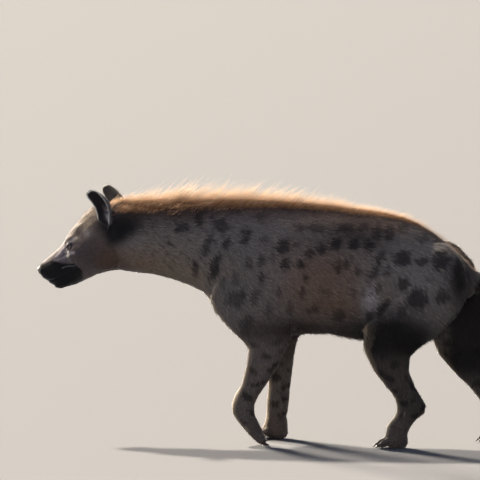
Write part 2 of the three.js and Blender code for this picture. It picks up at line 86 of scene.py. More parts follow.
# x, z and radius of the tail's stem, in mm
STEM = [(600, 556, 33), (628, 560, 27), (662, 545, 24), (690, 512, 19), (704, 470, 16), (709, 425, 13),
        (708, 380, 10), (703, 342, 7)]
STEM_SIDES = 20
GRID = 0.0021  # m, the grid the parts are fused at

SLICES = np.array(TRUNK, float) + (SHIFT, 0, 0, 0, 0)
STEM_LINE = np.array(STEM, float) + (SHIFT, 0, 0)


def trunk_at(x, column):
    """What a column of the trunk's slices says at each x: 1 is the top and 4 the sideways shift."""
    return np.interp(x, SLICES[:, 0], SLICES[:, column])


def piece_of(name, mesh):
    """A new object that holds a mesh whose points are already in the body's own frame."""
    piece = bpy.data.objects.new(name, mesh)
    bpy.context.scene.collection.objects.link(piece)
    return piece


def meshed(work, name):
    """A finished bmesh as a mesh."""
    mesh = bpy.data.meshes.new(name)
    work.to_mesh(mesh)
    work.free()
    return mesh


def finished(piece):
    """The piece with its modifiers applied."""
    ready = bpy.data.meshes.new_from_object(piece.evaluated_get(bpy.context.evaluated_depsgraph_get()))
    piece.modifiers.clear()
    piece.data = ready
    return piece


def add_sleeve(made, sides, hoops):
    """A closed form through hoops, each a function of the place on a unit circle, in mm."""
    rows = []
    for hoop in hoops:
        verts = bmesh.ops.create_circle(made, segments=sides, radius=1.0)["verts"]
        for v in verts:
            v.co = Vector(hoop(v.co.x, v.co.y)) / 1000
        rows.append(list({e for v in verts for e in v.link_edges}))
    for first, second in zip(rows, rows[1:]):
        bmesh.ops.bridge_loops(made, edges=first + second)
    bmesh.ops.holes_fill(made, edges=rows[0] + rows[-1], sides=0)


def trunk_hoop(x, top, bottom, half, aside):
    middle = (top + bottom) / 2

    def place(across, rise):
        power = 2 / (BACK_ROUND if rise > 0 else BELLY_ROUND)
        across = math.copysign(abs(across) ** power, across) * half
        return x, aside + across, middle + math.copysign(abs(rise) ** power, rise) * (top - middle)

    return place


def stem_hoop(number):
    x, z, radius = STEM_LINE[number]
    before, after = STEM_LINE[max(number - 1, 0)], STEM_LINE[min(number + 1, len(STEM_LINE) - 1)]
    way = (after - before)[:2] / np.linalg.norm((after - before)[:2])
    return lambda across, rise: (x + way[1] * rise * radius, across * radius, z - way[0] * rise * radius)


# The head has its own frame, from the joint of skull and neck along the face
HEAD_JOINT = np.array((-568.5 + SHIFT, 13, 665))
PITCH = math.radians(31)
TURN = math.radians(7)
ALONG = np.array((-math.cos(PITCH) * math.cos(TURN), math.cos(PITCH) * math.sin(TURN), -math.sin(PITCH)))
ACROSS = np.array((math.sin(TURN), math.cos(TURN), 0))
UP = np.cross(ALONG, ACROSS)
UP *= math.copysign(1, UP[2])
EYE_CENTRE = (102, 54, 24)  # along, across and up, in mm
GAZE = (0.42, 0.90, 0.06)
LID_SLANT = math.radians(-24)
SOCKET_FILL = 11.2  # mm, radius of the flesh behind each eyeball


def on_head(at):
    """Distance along the face, to the right and above the face's line, in mm."""
    off = at - HEAD_JOINT
    return off @ ALONG, off @ ACROSS, off @ UP


def from_head(along, across, up):
    return HEAD_JOINT + along * ALONG + across * ACROSS + up * UP


def unit(rows):
    return rows / np.maximum(np.linalg.norm(rows, axis=1), 1e-9)[:, None]


def along_surface(way, out):
    """The ways turned square to out."""
    return unit(way - out * (way * out).sum(axis=1)[:, None])


def eye_axes(side):
    """Middle of the eye and its gaze, the slant of the opening and the way up from it."""
    middle = from_head(EYE_CENTRE[0], side * EYE_CENTRE[1], EYE_CENTRE[2])
    gaze = unit((ALONG * GAZE[0] + ACROSS * side * GAZE[1] + UP * GAZE[2])[None])[0]
    level = ALONG * math.cos(LID_SLANT) + UP * math.sin(LID_SLANT)
    level = unit((level - gaze * (level @ gaze))[None])[0]
    upward = np.cross(gaze, level)
    return middle, gaze, level, upward * math.copysign(1, upward @ UP)


flesh = bmesh.new()
add_sleeve(flesh, SLICE_SIDES, [trunk_hoop(*row) for row in SLICES])
add_sleeve(flesh, STEM_SIDES, [stem_hoop(number) for number in range(len(STEM_LINE))])
for side in (-1, 1):
    filling = bmesh.ops.create_icosphere(flesh, subdivisions=3, radius=SOCKET_FILL / 1000)["verts"]
    bmesh.ops.translate(flesh, verts=filling, vec=Vector(eye_axes(side)[0]) / 1000)
bmesh.ops.recalc_face_normals(flesh, faces=flesh.faces)
FLESH_NODES = [
    "head", "ear_left", "ear_right", "foreleg_left", "foreleg_right", "hindleg_left", "hindleg_right",
    "forepaw_left", "forepaw_right", "hindpaw_left", "hindpaw_right",
]
for name in FLESH_NODES:
    flesh.from_mesh(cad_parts[name].data)
bmesh.ops.remove_doubles(flesh, verts=flesh.verts, dist=1e-6)
skin = piece_of("skin", meshed(flesh, "skin"))
fuse = skin.modifiers.new("fuse", "REMESH")
fuse.mode = "VOXEL"
fuse.voxel_size = GRID
skin = finished(skin)


def points_of(mesh):
    """The points of a mesh in mm, and the way each one faces."""
    at = np.empty(len(mesh.vertices) * 3, np.float32)
    mesh.vertices.foreach_get("co", at)
    out = np.empty(len(mesh.vertices) * 3, np.float32)
    mesh.vertex_normals.foreach_get("vector", out)
    return at.reshape(-1, 3).astype(float) * 1000, out.reshape(-1, 3).astype(float)


def set_points(mesh, at):
    mesh.vertices.foreach_set("co", (at / 1000).astype(np.float32).ravel())
    mesh.update()


def ramp(value, low, high):
    """0 at low and 1 at high, with a soft start and end."""
    share = np.clip((value - low) / (high - low), 0, 1)
    return share * share * (3 - 2 * share)


def headness(at):
    """1 on the head and 0 on the neck behind it."""
    return ramp(on_head(at)[0], -95, -45)


SURFACES = {name: BVHTree.FromObject(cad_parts[name], bpy.context.evaluated_depsgraph_get())
            for name in ("head", "ear_left", "ear_right")}


def earness(at):
    """1 on the ears and 0 elsewhere."""
    along, across, up = on_head(at)
    share = np.zeros(len(at))
    for number in np.flatnonzero((along < 10) & (along > -110) & (np.abs(across) > 38) & (up > 0)):
        ear = "ear_right" if across[number] > 0 else "ear_left"
        place = Vector(at[number]) / 1000
        far = [(SURFACES[name].find_nearest(place)[3] or 1) * 1000 for name in ("head", ear)]
        share[number] = ramp(far[0] - far[1], -1, 6)
    return share


def evened(piece, rounds, weight):
    """The piece with its surface evened out, by as much as weight says at each point."""
    group = piece.vertex_groups.new(name="soft")
    share = np.round(weight * 20) / 20
    for level in np.unique(share):
        group.add(np.flatnonzero(share == level).tolist(), float(level), "REPLACE")
    even = piece.modifiers.new("even", "SMOOTH")
    even.factor = 0.5
    even.iterations = rounds
    even.vertex_group = group.name
    piece = finished(piece)
    piece.vertex_groups.clear()
    return piece


at, _ = points_of(skin.data)
paws = ramp(at[:, 2], 130, 60)
ears = earness(at)
skin = evened(skin, 55, (1 - headness(at)) * (1 - paws))
tip = ramp(on_head(at)[0], 205, 225)
far = np.minimum(*(np.linalg.norm(at - eye_axes(side)[0], axis=1) for side in (-1, 1)))
skin = evened(skin, 45, ramp(far, 27, 17))
# the root of the tail runs smoothly out of the croup
far = np.linalg.norm((at - (600, 0, 650)) / (1.0, 0.8, 0.8), axis=1)
skin = evened(skin, 60, ramp(far, 105, 60))
skin = evened(skin, 9, 0.2 + 0.8 * headness(at) * (1 - ears) * (1 - paws) * (1 - tip))

# The grid is coarser where the body is plain
at, _ = points_of(skin.data)
fine = skin.vertex_groups.new(name="plain")
plain = 1 - np.maximum(headness(at), ramp(at[:, 2], 110, 80))
for level in (0.0, 1.0):
    fine.add(np.flatnonzero((plain > 0.5) == (level > 0.5)).tolist(), level, "REPLACE")
thin = skin.modifiers.new("thin", "DECIMATE")
thin.ratio = 0.2
thin.vertex_group = fine.name
thin.vertex_group_factor = 3.0
skin = finished(skin)
skin.vertex_groups.clear()
skin.data.shade_smooth()


def coat_length(at, ears):
    """How long the short coat is at each place, in mm."""
    x, y, z = at.T
    along = on_head(at)[0]
    length = 24 + 6 * ramp(z, 480, 400) * ramp(np.abs(y), 150, 60)
    length += 18 * ramp(z, 400, 362) * ramp(x, 60, 180) * ramp(x, 380, 320)
    belly = ramp(z, 300, 330) * ramp(x, 100, 160) * ramp(x, 330, 300)
    legs = ramp(z, 420, 270) * (1 - belly)
    length += (14 - length) * legs
    length += (7 - length) * ramp(z, 120, 60)
    face = headness(at)
    length += (12 - 6.5 * ramp(along, 20, 150) - length) * face
    length += (4 - length) * ramp(along, 190, 230)
    return length + (4.5 - length) * ears


def swell(at, centre, reach, height):
    """How far a soft swelling or hollow lifts each place."""
    far = sum(((at[k] - centre[k]) / reach[k]) ** 2 for k in range(len(centre)))
    return height * np.exp(-far)


def groove(u, v, line, wide):
    """1 on a line through the given places and 0 away from it."""
    best = np.full(len(u), 1e9)
    for (u0, v0), (u1, v1) in zip(line, line[1:]):
        du, dv = u1 - u0, v1 - v0
        share = np.clip(((u - u0) * du + (v - v0) * dv) / (du**2 + dv**2), 0, 1)
        best = np.minimum(best, np.hypot(u - u0 - share * du, v - v0 - share * dv))
    return np.exp(-((best / wide) ** 2))


# along, across, up, reach along, across and up, and height of the forms of the face, in mm
FACE_FORMS = [
    (90, 50, 47, 17, 15, 11, 3.5),  # brow
    (84, 60, 10, 26, 16, 9, 2.5),  # cheek bone under the eye
    (30, 82, -4, 34, 20, 12, 3.0),
    (132, 42, 14, 17, 16, 12, -3.0),  # hollow before the eye
    (58, 68, 42, 20, 20, 18, -3.5),  # temple
    (30, 84, -50, 38, 30, 34, 5.0),  # jaw muscle
    (90, 66, -52, 24, 24, 26, -3.0),
    (-50, 70, -60, 16, 40, 60, -5.0),  # behind the jaw
    (205, 34, -14, 22, 18, 14, 3.0),  # whisker pad
    (165, 36, -36, 30, 20, 12, 3.0),  # upper lip
    (180, 24, -66, 34, 20, 14, 2.0),  # lower lip
    (60, 0, 92, 60, 9, 30, -2.5),  # furrow of the forehead
    (175, 0, 42, 50, 24, 16, 3.0),  # bridge of the nose
    (238, 20, 10, 12, 14, 20, 4.5),
    (102, 54, 24, 24, 20, 18, 2.2),  # rim of the socket
    (102, 54, 24, 12, 14, 10, -2.6),
    (208, 0, -60, 20, 24, 15, 8.0),  # chin
    (226, 0, -36, 15, 20, 12, 5.0),  # front of the upper lip
]
MOUTH = [(247, -22), (238, -30), (222, -38), (200, -43), (175, -46), (150, -46), (128, -38), (112, -26)]
LIP_FOLD = [(165, -17), (150, -20), (140, -23), (124, -31)]
TEAR_LINE = [(116, 20), (132, 14), (150, 12), (170, 14)]
# x, height, reach and height of the forms of the body, in mm
BODY_FORMS = [
    (-91, 565, 62, 95, 7.0),  # shoulder
    (16, 560, 26, 110, -6.0),
    (-146, 665, 26, 70, 4.0),
    (52, 432, 34, 40, 5.0),  # elbow
    (154, 540, 90, 90, 4.0),  # ribs
    (300, 545, 40, 75, -8.0),  # flank
    (358, 480, 30, 85, 7.0),  # front of the thigh
    (-212, 505, 24, 42, 8.0),  # before the shoulder
    (504, 560, 70, 80, 5.0),  # haunch
    (474, 420, 30, 60, -4.0),
    (-326, 560, 110, 24, 4.0),  # side of the throat
    (-326, 640, 120, 30, -4.0),
]
at, out = points_of(skin.data)
along, across, up = on_head(at)
head_place = (along, np.abs(across), up)
lifted = np.zeros(len(at))
for pa, pc, pu, ra, rc, ru, height in FACE_FORMS:
    lifted += swell(head_place, (pa, pc, pu), (ra, rc, ru), height)
lifted -= 4.5 * groove(along, up, MOUTH, 3.0) * ramp(np.abs(across), 4, 12) * ramp(along, 104, 114)
lifted -= 2.2 * groove(along, up, LIP_FOLD, 3.4) * ramp(np.abs(across), 20, 30)
lifted += 1.8 * groove(along, up + 7, LIP_FOLD, 5.0) * ramp(np.abs(across), 20, 30)
lifted -= 1.6 * groove(along, up, TEAR_LINE, 4.0) * ramp(np.abs(across), 20, 30)
face = headness(at)
lifted *= face
for px, pz, wide, high, height in BODY_FORMS:
    form = swell((at[:, 0], at[:, 2]), (px, pz), (wide, high), height)
    lifted += form * ramp(np.abs(at[:, 1]), 55, 95) * (1 - face)
set_points(skin.data, at + out * lifted[:, None])

# The hide lies inside the solids by the depth of the coat
LYING_DEPTH = 0.27  # of the hairs' length
at, out = points_of(skin.data)
skin_ears = earness(at)
depth = coat_length(at, skin_ears) * LYING_DEPTH
depth *= (1 - 0.6 * skin_ears) * (1 - ramp(on_head(at)[0], 200, 224))
set_points(skin.data, at - out * depth[:, None])

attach(skin, "root")
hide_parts("neck", "torso", "tail", *FLESH_NODES)

# Markings
# Grey-brown hide with dark spots, darker legs and belly, painted shade under the crest, an olive neck,
# a sandy forehead and a black muzzle, with painted highlights on the bridge, lip, ear rims, leg fronts and
# thigh, and painted shade on the far thigh and ears. The hide and the hairs that stand on it take their
# colours from one table.


def linear(colour):
    """An sRGB hex colour as linear RGBA."""
    parts = [int(colour[i : i + 2], 16) / 255 for i in (1, 3, 5)]
    return [c / 12.92 if c <= 0.04045 else ((c + 0.055) / 1.055) ** 2.4 for c in parts] + [1.0]


def mix(colours, colour, weight):
    return colours + (np.array(linear(colour)[:3]) - colours) * np.clip(weight, 0, 1)[:, None]


def plain_colour(colour, count):
    return np.tile(np.array(linear(colour)[:3]), (count, 1))


def ripple(at, grain, seed):
    """Smooth uneven waves about as wide as the grain in mm, from about -1 to 1."""
    turn = 6.283  # radians
    dice = np.random.default_rng(seed)
    total = np.zeros(len(at))
    for _ in range(7):
        way = dice.normal(size=3)
        way /= np.linalg.norm(way)
        total += np.sin(at @ way * (turn / (grain * dice.uniform(0.7, 1.5))) + dice.uniform(0, turn))
    return np.clip(total / 3.4, -1.2, 1.2)


GROUND = "#7f7775"
# x, z, reach along and up, colour and strength of each soft patch on the sides of the body, in mm
PATCHES = [
    (-116, 560, 110, 130, "#74706f", 0.8),
    (194, 570, 150, 90, "#7c6557", 0.9),
    (214, 470, 150, 62, "#78604f", 0.85),
    (94, 375, 170, 50, "#2e1f19", 0.95),
    (264, 352, 150, 50, "#2c1d17", 1.0),
    (484, 600, 120, 110, "#847f7e", 0.85),
    # painted highlight: a pale patch where the front of the thigh catches the light
    (342, 474, 28, 56, "#b4aeb0", 0.95),
    # painted shade: a dark band under the crest
    (275, 700, 135, 55, "#33292a", 0.8),
    (424, 392, 135, 70, "#0f0d0d", 1.0),
    (-326, 640, 110, 60, "#857d77", 0.9),
    (-296, 560, 150, 50, "#8f8070", 0.9),
    (-436, 590, 110, 45, "#857261", 0.9),
    (-446, 735, 90, 50, "#3c3230", 0.9),
    (-486, 700, 32, 58, "#141112", 1.0),
    (-266, 745, 90, 34, "#54443a", 0.7),
    (629, 540, 42, 90, "#1d1918", 1.0),
]
# x, z, half length, half height, lean in degrees and strength of each spot, in mm
SPOTS = [
    (-323, 657, 7, 8, 0, 0.6), (-280, 704, 25, 16, 0, 0.8), (-235, 572, 10, 23, 0, 0.75),
    (-227, 737, 14, 23, 0, 0.6), (-196, 648, 10, 40, 18, 0.75), (-166, 583, 15, 42, 22, 1),
    (-152, 714, 25, 19, 10, 0.7), (-139, 529, 10, 21, 10, 0.5), (-130, 656, 11, 21, 5, 0.9),
    (-111, 763, 23, 11, 0, 0.4), (-97, 480, 30, 25, 0, 0.55), (-97, 546, 12, 21, 5, 0.5),
    (-73, 502, 11, 16, 0, 0.4), (-68, 684, 14, 25, 8, 1), (-63, 398, 16, 34, 12, 0.6),
    (-54, 600, 12, 19, 0, 0.6), (-33, 492, 11, 27, 12, 0.5), (-21, 742, 21, 16, 0, 0.4),
    (-14, 606, 10, 19, 0, 0.7), (-13, 552, 9, 18, 0, 0.8), (-7, 674, 15, 10, 0, 0.4),
    (10, 448, 12, 21, 5, 0.5), (24, 617, 7, 18, 0, 0.4), (44, 504, 10, 16, 0, 0.4),
    (58, 652, 18, 23, 0, 1), (66, 597, 15, 20, 0, 1), (79, 449, 10, 21, 0, 0.5),
    (100, 659, 10, 8, 0, 0.4), (107, 710, 15, 12, 0, 0.5), (118, 598, 12, 15, 0, 0.9),
    (122, 505, 8, 22, 0, 0.7), (133, 553, 10, 12, 0, 0.9), (138, 445, 8, 10, 0, 0.6),
    (146, 632, 16, 17, 0, 0.9), (162, 712, 26, 14, 0, 0.7), (165, 453, 12, 15, 0, 0.7),
    (183, 649, 15, 15, 0, 0.9), (198, 513, 18, 10, 0, 0.4), (229, 663, 17, 19, 0, 1),
    (238, 432, 18, 19, 0, 0.7), (240, 589, 10, 26, 10, 0.8), (255, 713, 25, 14, 0, 0.8),
    (265, 600, 8, 14, 0, 0.7), (276, 621, 8, 10, 0, 0.3), (286, 507, 10, 15, 0, 0.4),
    (287, 662, 15, 17, 0, 1), (303, 575, 10, 14, 0, 0.7), (314, 716, 15, 12, 0, 0.7),
    (321, 508, 8, 15, 10, 0.4), (334, 659, 18, 18, 0, 1), (338, 434, 15, 18, 0, 0.9),
    (354, 570, 12, 34, 30, 0.8), (359, 697, 14, 23, 0, 0.9), (369, 522, 10, 18, 10, 0.6),
    (374, 624, 12, 21, 25, 0.7), (381, 454, 14, 33, 30, 0.9), (397, 576, 9, 19, 10, 0.7),
    (397, 695, 14, 21, 0, 1), (438, 712, 15, 12, 0, 0.5), (445, 448, 16, 16, 0, 0.5),
    (445, 618, 26, 23, 0, 1), (448, 537, 18, 21, 0, 0.9), (495, 490, 31, 33, 0, 1),
    (504, 608, 21, 14, 0, 0.8), (504, 679, 17, 14, 0, 0.6), (535, 552, 14, 11, 0, 0.4),
    (549, 669, 12, 11, 0, 0.5), (566, 611, 27, 27, 0, 1), (573, 499, 19, 25, 0, 0.9),
    (619, 586, 10, 25, 0, 0.8),
]
SPOT_COLOUR = "#1e181a"
SPOT_STRENGTH = 0.84
SPOT_REACH = 75  # mm, beyond which a spot is not looked for
SPOT_STRAY = 11.0  # mm, how far the right side's spots stray from the left side's
CREST_HIDE = "#a97446"
SKULL = "#655a59"
# along, across, up, reach, colour and strength of each soft patch on the face, in mm
FACE_PATCHES = [
    (-10, 0, 100, 95, "#8c7a68", 0.8),
    (70, 0, 85, 50, "#8f8075", 0.9),
    (10, 60, 69, 26, "#a79887", 0.7),
    (25, 76, 33, 15, "#c2b8b0", 0.8),
    (60, 74, -36, 55, "#4d464b", 0.9),
    (0, 70, -80, 60, "#5f4836", 0.8),
    (140, 46, 12, 26, "#6b6472", 0.85),
    (170, 40, 16, 12, "#8b8690", 0.6),
    (102, 54, 26, 19, "#2a2225", 0.85),
    # painted highlight: a small bright spot just under the eye
    (105, 56, 12, 7, "#cdc4c0", 0.9),
]
# along and up of the pale streaks over and under the eye and down the side of the muzzle, their width in mm,
# colour and strength
FACE_STREAKS = [
    ([(106, 42), (88, 38), (70, 40)], 5.5, "#c4bab0", 0.9),
    ([(128, 17), (113, 7), (95, 1)], 4.5, "#b9b1b3", 0.85),
    ([(128, 36), (150, 30), (168, 22)], 5.0, "#a9a3ac", 0.7),
]
# painted highlight: a pale line along the fold of the upper lip
LIP_HIGHLIGHT = "#aaa6ae"
MUZZLE_BLACK = "#131115"
EAR_OUTSIDE = "#6a6468"
# the inside of the ear is dark hair, made darker still by painted shade
EAR_INSIDE = "#252024"
# painted highlight: the near-white rim of light along the ears' edges
EAR_RIM_HIGHLIGHT = "#f6f1e8"
# along, across and up of the ear's edge, from the front of the lobe over the tip and down behind
EAR_EDGE = [
    (-16, 68, 6), (-19, 70, 28), (-24, 69, 50), (-32, 68, 72), (-38, 71, 93), (-39, 79, 114), (-38, 88, 133),
    (-42, 94, 146), (-61, 90, 150), (-71, 96, 142), (-80, 98, 128), (-86, 101, 110), (-90, 104, 90),
    (-89, 105, 69), (-80, 102, 46), (-62, 92, 22),
]


def ear_edge_distance(at):
    """How far each place is from the edge of the nearer ear, in mm."""
    along, across, up = on_head(at)
    place = np.stack((along, np.abs(across), up), axis=1)
    best = np.full(len(at), 1e9)
    for first, second in zip(EAR_EDGE, EAR_EDGE[1:]):
        first, way = np.array(first, float), np.subtract(second, first)
        share = np.clip(((place - first) @ way) / (way @ way), 0, 1)
        best = np.minimum(best, np.linalg.norm(place - first - share[:, None] * way, axis=1))
    return best


def markings(at, out, ears):
    """The coat's colour at each place on the body, as linear RGB."""
    x, y, z = at.T
    along, across, up = on_head(at)
    colours = plain_colour(GROUND, len(at))
    drift = ripple(at, 120, 3)
    for px, pz, wide, high, colour, strength in PATCHES:
        far = ((x - px) / wide) ** 2 + ((z - pz) / high) ** 2
        colours = mix(colours, colour, strength * np.exp(-far * (1 + 0.25 * drift)))
    back = trunk_at(x, 1)
    # painted shade: a darker band along the back just under the crest, where the crest shades it
    under_crest_shade = ramp(back - z, 85, 20) * ramp(x, -480, -350) * ramp(x, 520, 380)
    colours = mix(colours, "#5c4640", 0.8 * under_crest_shade)
    limbs = ramp(z, 400, 290)
    colours = mix(colours, "#6d635d", limbs * (0.9 + 0.1 * drift))
    # near-black lower thighs and dark shanks, and painted shade on the far thigh, darkest of all
    thigh = ramp(z, 430, 370) * ramp(x, 250, 330) * ramp(x, 570, 490) * ramp(z, 240, 320)
    colours = mix(colours, "#171313", thigh)
    colours = mix(colours, "#433a37", 0.75 * ramp(x, 300, 380) * ramp(z, 340, 280) * ramp(z, 60, 130))
    far_thigh_shade = 0.9 * ramp(y, 5, 30) * ramp(x, 545, 600) * ramp(z, 570, 520) * ramp(z, 180, 260)
    colours = mix(colours, "#171415", far_thigh_shade)
    colours = mix(colours, "#574539", 0.4 * ramp(z, 140, 40))
    # short dark flecks run down the neck
    flecks = ramp(ripple(at * (1.7, 1.0, 0.5), 15, 9), 0.45, 0.9) * ramp(x, -450, -390) * ramp(x, -60, -180)
    colours = mix(colours, "#322b2d", 0.6 * flecks * ramp(z, 540, 590))
    dice = np.random.default_rng(21)
    fray = 0.3 * ripple(at, 17, 5) + 0.15 * ripple(at, 7, 6)
    for side in (-1, 1):
        for sx, sz, wide, high, lean, strength in SPOTS:
            stray = dice.normal(size=2) * SPOT_STRAY * (side > 0)
            near = (np.abs(x - sx) < SPOT_REACH) & (np.abs(z - sz) < SPOT_REACH) & (y * side > 0)
            near = np.flatnonzero(near)
            dx, dz = x[near] - sx - stray[0], z[near] - sz - stray[1]
            turn = math.radians(lean)
            u, v = dx * math.cos(turn) - dz * math.sin(turn), dx * math.sin(turn) + dz * math.cos(turn)
            weight = strength**0.7 * ramp(np.hypot(u / wide, v / high) + fray[near], 1.5, 0.7)
            colours[near] = mix(colours[near], SPOT_COLOUR, weight * SPOT_STRENGTH)
    blots = ramp(ripple(at, 42, 8) + fray, 0.25, 0.7) * limbs * ramp(z, 50, 100)
    colours = mix(colours, "#1b1615", 0.75 * blots)
    # painted highlight: the forward-facing sides of the legs and breast are painted pale, as a rim of light
    lit_front = ramp(-out[:, 0], 0.35, 0.85) * ramp(z, 620, 420) * ramp(z, 20, 60)
    colours = mix(colours, "#b7a48a", 0.75 * lit_front * (1 - headness(at)))
    half = np.interp(x, (-480, 200, 420, 600), (60, 46, 32, 20))
    ridge = ramp(np.abs(y), half, half * 0.6) * ramp(back - z, 48, 22)
    ridge = ridge * ramp(x, -520, -470) * ramp(x, 560, 420)
    colours = mix(colours, CREST_HIDE, ridge)
    skull = plain_colour(SKULL, len(at))
    for pa, pc, pu, reach, colour, strength in FACE_PATCHES:
        far = (along - pa) ** 2 + (np.abs(across) - pc) ** 2 + (up - pu) ** 2
        skull = mix(skull, colour, strength * np.exp(-far / reach**2))
    beside = ramp(np.abs(across), 14, 26)
    for line, wide, colour, strength in FACE_STREAKS:
        skull = mix(skull, colour, strength * beside * groove(along, up, line, wide) * (1 + 0.5 * fray))
    # painted highlight: a pale band along the top of the nose's bridge, where the light catches it
    bridge_highlight = ramp(np.abs(across), 32, 14) * ramp(up, 10, 30) * ramp(along, 80, 120)
    skull = mix(skull, "#a79f9f", 0.8 * bridge_highlight)
    # the black of the muzzle ends on a line from the nose down to the corner of the mouth
    edge = np.interp(along, (95, 109, 122, 160, 185, 245), (-85, -56, -28, -5, 17, 27))
    rear = np.interp(up, (-95, -60, -25), (138, 108, 97))
    muzzle = ramp(up - edge + 3 * fray, 5, -5) * ramp(along - rear + 5 * fray, -8, 8)
    skull = mix(skull, MUZZLE_BLACK, muzzle)
    skull = mix(skull, MUZZLE_BLACK, ramp(along, 215, 232))
    # painted highlight along the fold of the upper lip
    skull = mix(skull, LIP_HIGHLIGHT, 0.4 * beside * groove(along, up + 4, LIP_FOLD, 1.6))
    colours += (skull - colours) * ramp(along, -75, -5)[:, None]
    nape = ramp(along, 0, -40) * ramp(np.abs(across), 45, 70) * ramp(up, -68, -25) * ramp(along, -165, -110)
    colours = mix(colours, "#151214", 0.95 * nape * (1 - ears))
    inside = ramp((out @ ALONG) * 0.55 + (out @ ACROSS) * 0.8 * np.sign(across), -0.1, 0.3)
    ear = plain_colour(EAR_OUTSIDE, len(at))
    ear = mix(ear, EAR_INSIDE, inside)
    # the sides of the ears that face the head are their own dark hair with a painted blue-black shade over
    # it
    ear = mix(ear, "#15131c", ramp((out @ ACROSS) * np.sign(across), 0.0, -0.4))
    tuft = np.exp(-(((along + 66) / 8) ** 2 + ((up - 44) / 26) ** 2))
    ear = mix(ear, "#ddd5cd", tuft * inside)
    # painted highlight: a near-white rim along each ear's edge, brighter towards the front
    rim = ramp(ear_edge_distance(at), 7.5, 3.5) * (0.5 + 0.5 * ramp(along + 0.1 * up, -62, -46))
    ear = mix(ear, EAR_RIM_HIGHLIGHT, rim)
    colours += (ear - colours) * ears[:, None]
    return colours


def paint(mesh, colours, name="Fur"):
    """The given colours as a colour on each point."""
    layer = mesh.color_attributes.new(name, "FLOAT_COLOR", "POINT")
    rgba = np.ones((len(colours), 4), np.float32)
    rgba[:, :3] = np.clip(colours, 0, 1)
    layer.data.foreach_set("color", rgba.ravel())


def node(material, kind, links=(), **settings):
    """One shader node with its settings and its incoming links."""
    made = material.node_tree.nodes.new(kind)
    for name, value in settings.items():
        if name in made.bl_rna.properties:
            setattr(made, name, value)
        else:
            made.inputs[name.replace("_", " ")].default_value = value
    for target, source in dict(links).items():
        material.node_tree.links.new(source, made.inputs[target])
    return made


def new_material(name):
    material = bpy.data.materials.new(name)
    material.use_nodes = True
    return material, material.node_tree.nodes["Principled BSDF"]


def hair_material(name, grain, contrast, roughness, bump, glow=0.0, sheen=0.6):
    """Dull hair: the painted markings, broken up by a fine streaky grain. Light behind it glows through."""
    material, shader = new_material(name)
    painted = node(material, "ShaderNodeAttribute", attribute_name="Fur")
    place = node(material, "ShaderNodeTexCoord")
    streaks = node(material, "ShaderNodeTexNoise", {"Vector": place.outputs["Object"]},
                   Scale=grain, Detail=3.0)
    shade = node(material, "ShaderNodeMapRange", {"Value": streaks.outputs["Fac"]},
                 From_Min=0.3, From_Max=0.7, To_Min=1 - contrast, To_Max=1 + contrast)
    broken = node(material, "ShaderNodeVectorMath",
                  {0: painted.outputs["Color"], 1: shade.outputs["Result"]}, operation="MULTIPLY")
    relief = node(material, "ShaderNodeBump", {"Height": streaks.outputs["Fac"]}, Distance=bump)
    material.node_tree.links.new(broken.outputs["Vector"], shader.inputs["Base Color"])
    material.node_tree.links.new(relief.outputs["Normal"], shader.inputs["Normal"])
    shader.inputs["Roughness"].default_value = roughness
    shader.inputs["Specular IOR Level"].default_value = 0.25
    shader.inputs["Sheen Weight"].default_value = sheen
    shader.inputs["Sheen Roughness"].default_value = 0.35
    if glow:
        through = node(material, "ShaderNodeBsdfTranslucent", {"Color": broken.outputs["Vector"]})
        both = node(material, "ShaderNodeMixShader", {1: shader.outputs[0], 2: through.outputs[0]}, Fac=glow)
        ending = material.node_tree.nodes["Material Output"]
        material.node_tree.links.new(both.outputs[0], ending.inputs["Surface"])
    return material


# short dull undercoat seen between the tufts
undercoat = hair_material("dull_undercoat", 420.0, 0.3, 0.9, 0.0015)
# coarse guard hair
guard_hair = hair_material("coarse_guard_hair", 260.0, 0.16, 0.65, 0.0004, 0.3)
# smooth black bristle
bristle = hair_material("smooth_black_bristle", 300.0, 0.1, 0.5, 0.0001, sheen=0.0)
# long stiff crest hair that the sun shines through
crest_hair = hair_material("long_crest_hair", 200.0, 0.12, 0.6, 0.0002, 0.3, sheen=0.25)

HIDE_SHADE = 0.8  # the hide between the tufts is darker than they are
at, out = points_of(skin.data)
paint(skin.data, markings(at, out, skin_ears) * HIDE_SHADE)
skin.data.materials.append(undercoat)

# Eyes and lids
# Wet balls of dark amber with a round pupil, deep in the head under dark rimmed lids. The lids
# are one soft ring about an almond opening, slanting down towards the nose.

BALL = 12.6
CORNEA = 1.4
PUPIL, IRIS_EDGE = math.radians(13), math.radians(36)
OPENING = (12.3, 6.4, 5.6)  # half length, height above and below the middle
# reach of each row beyond the opening, height over the ball and over the hide in mm, share of face colour
LID_ROWS = [(0.90, 0.1, -40, 0.0), (0.98, 1.3, -40, 0.0), (1.10, 2.0, -40, 0.05), (1.34, 1.6, 1.2, 0.35),
            (1.65, 0.4, 0.9, 0.85), (2.0, -2.0, -1.4, 1.0)]
LID_SIDES = 40

wet_eye, shader = new_material("wet_amber_eye")
stain = node(wet_eye, "ShaderNodeAttribute", attribute_name="Iris")
place = node(wet_eye, "ShaderNodeTexCoord")
fibres = node(wet_eye, "ShaderNodeTexNoise", {"Vector": place.outputs["Object"]}, Scale=900.0, Detail=2.0)
shade = node(wet_eye, "ShaderNodeMapRange", {"Value": fibres.outputs["Fac"]}, To_Min=0.7, To_Max=1.3)
blend = node(wet_eye, "ShaderNodeVectorMath", {0: stain.outputs["Color"], 1: shade.outputs["Result"]},
             operation="MULTIPLY")
wet_eye.node_tree.links.new(blend.outputs["Vector"], shader.inputs["Base Color"])
shader.inputs["Roughness"].default_value = 0.06
shader.inputs["Coat Weight"].default_value = 1.0
shader.inputs["Coat Roughness"].default_value = 0.02

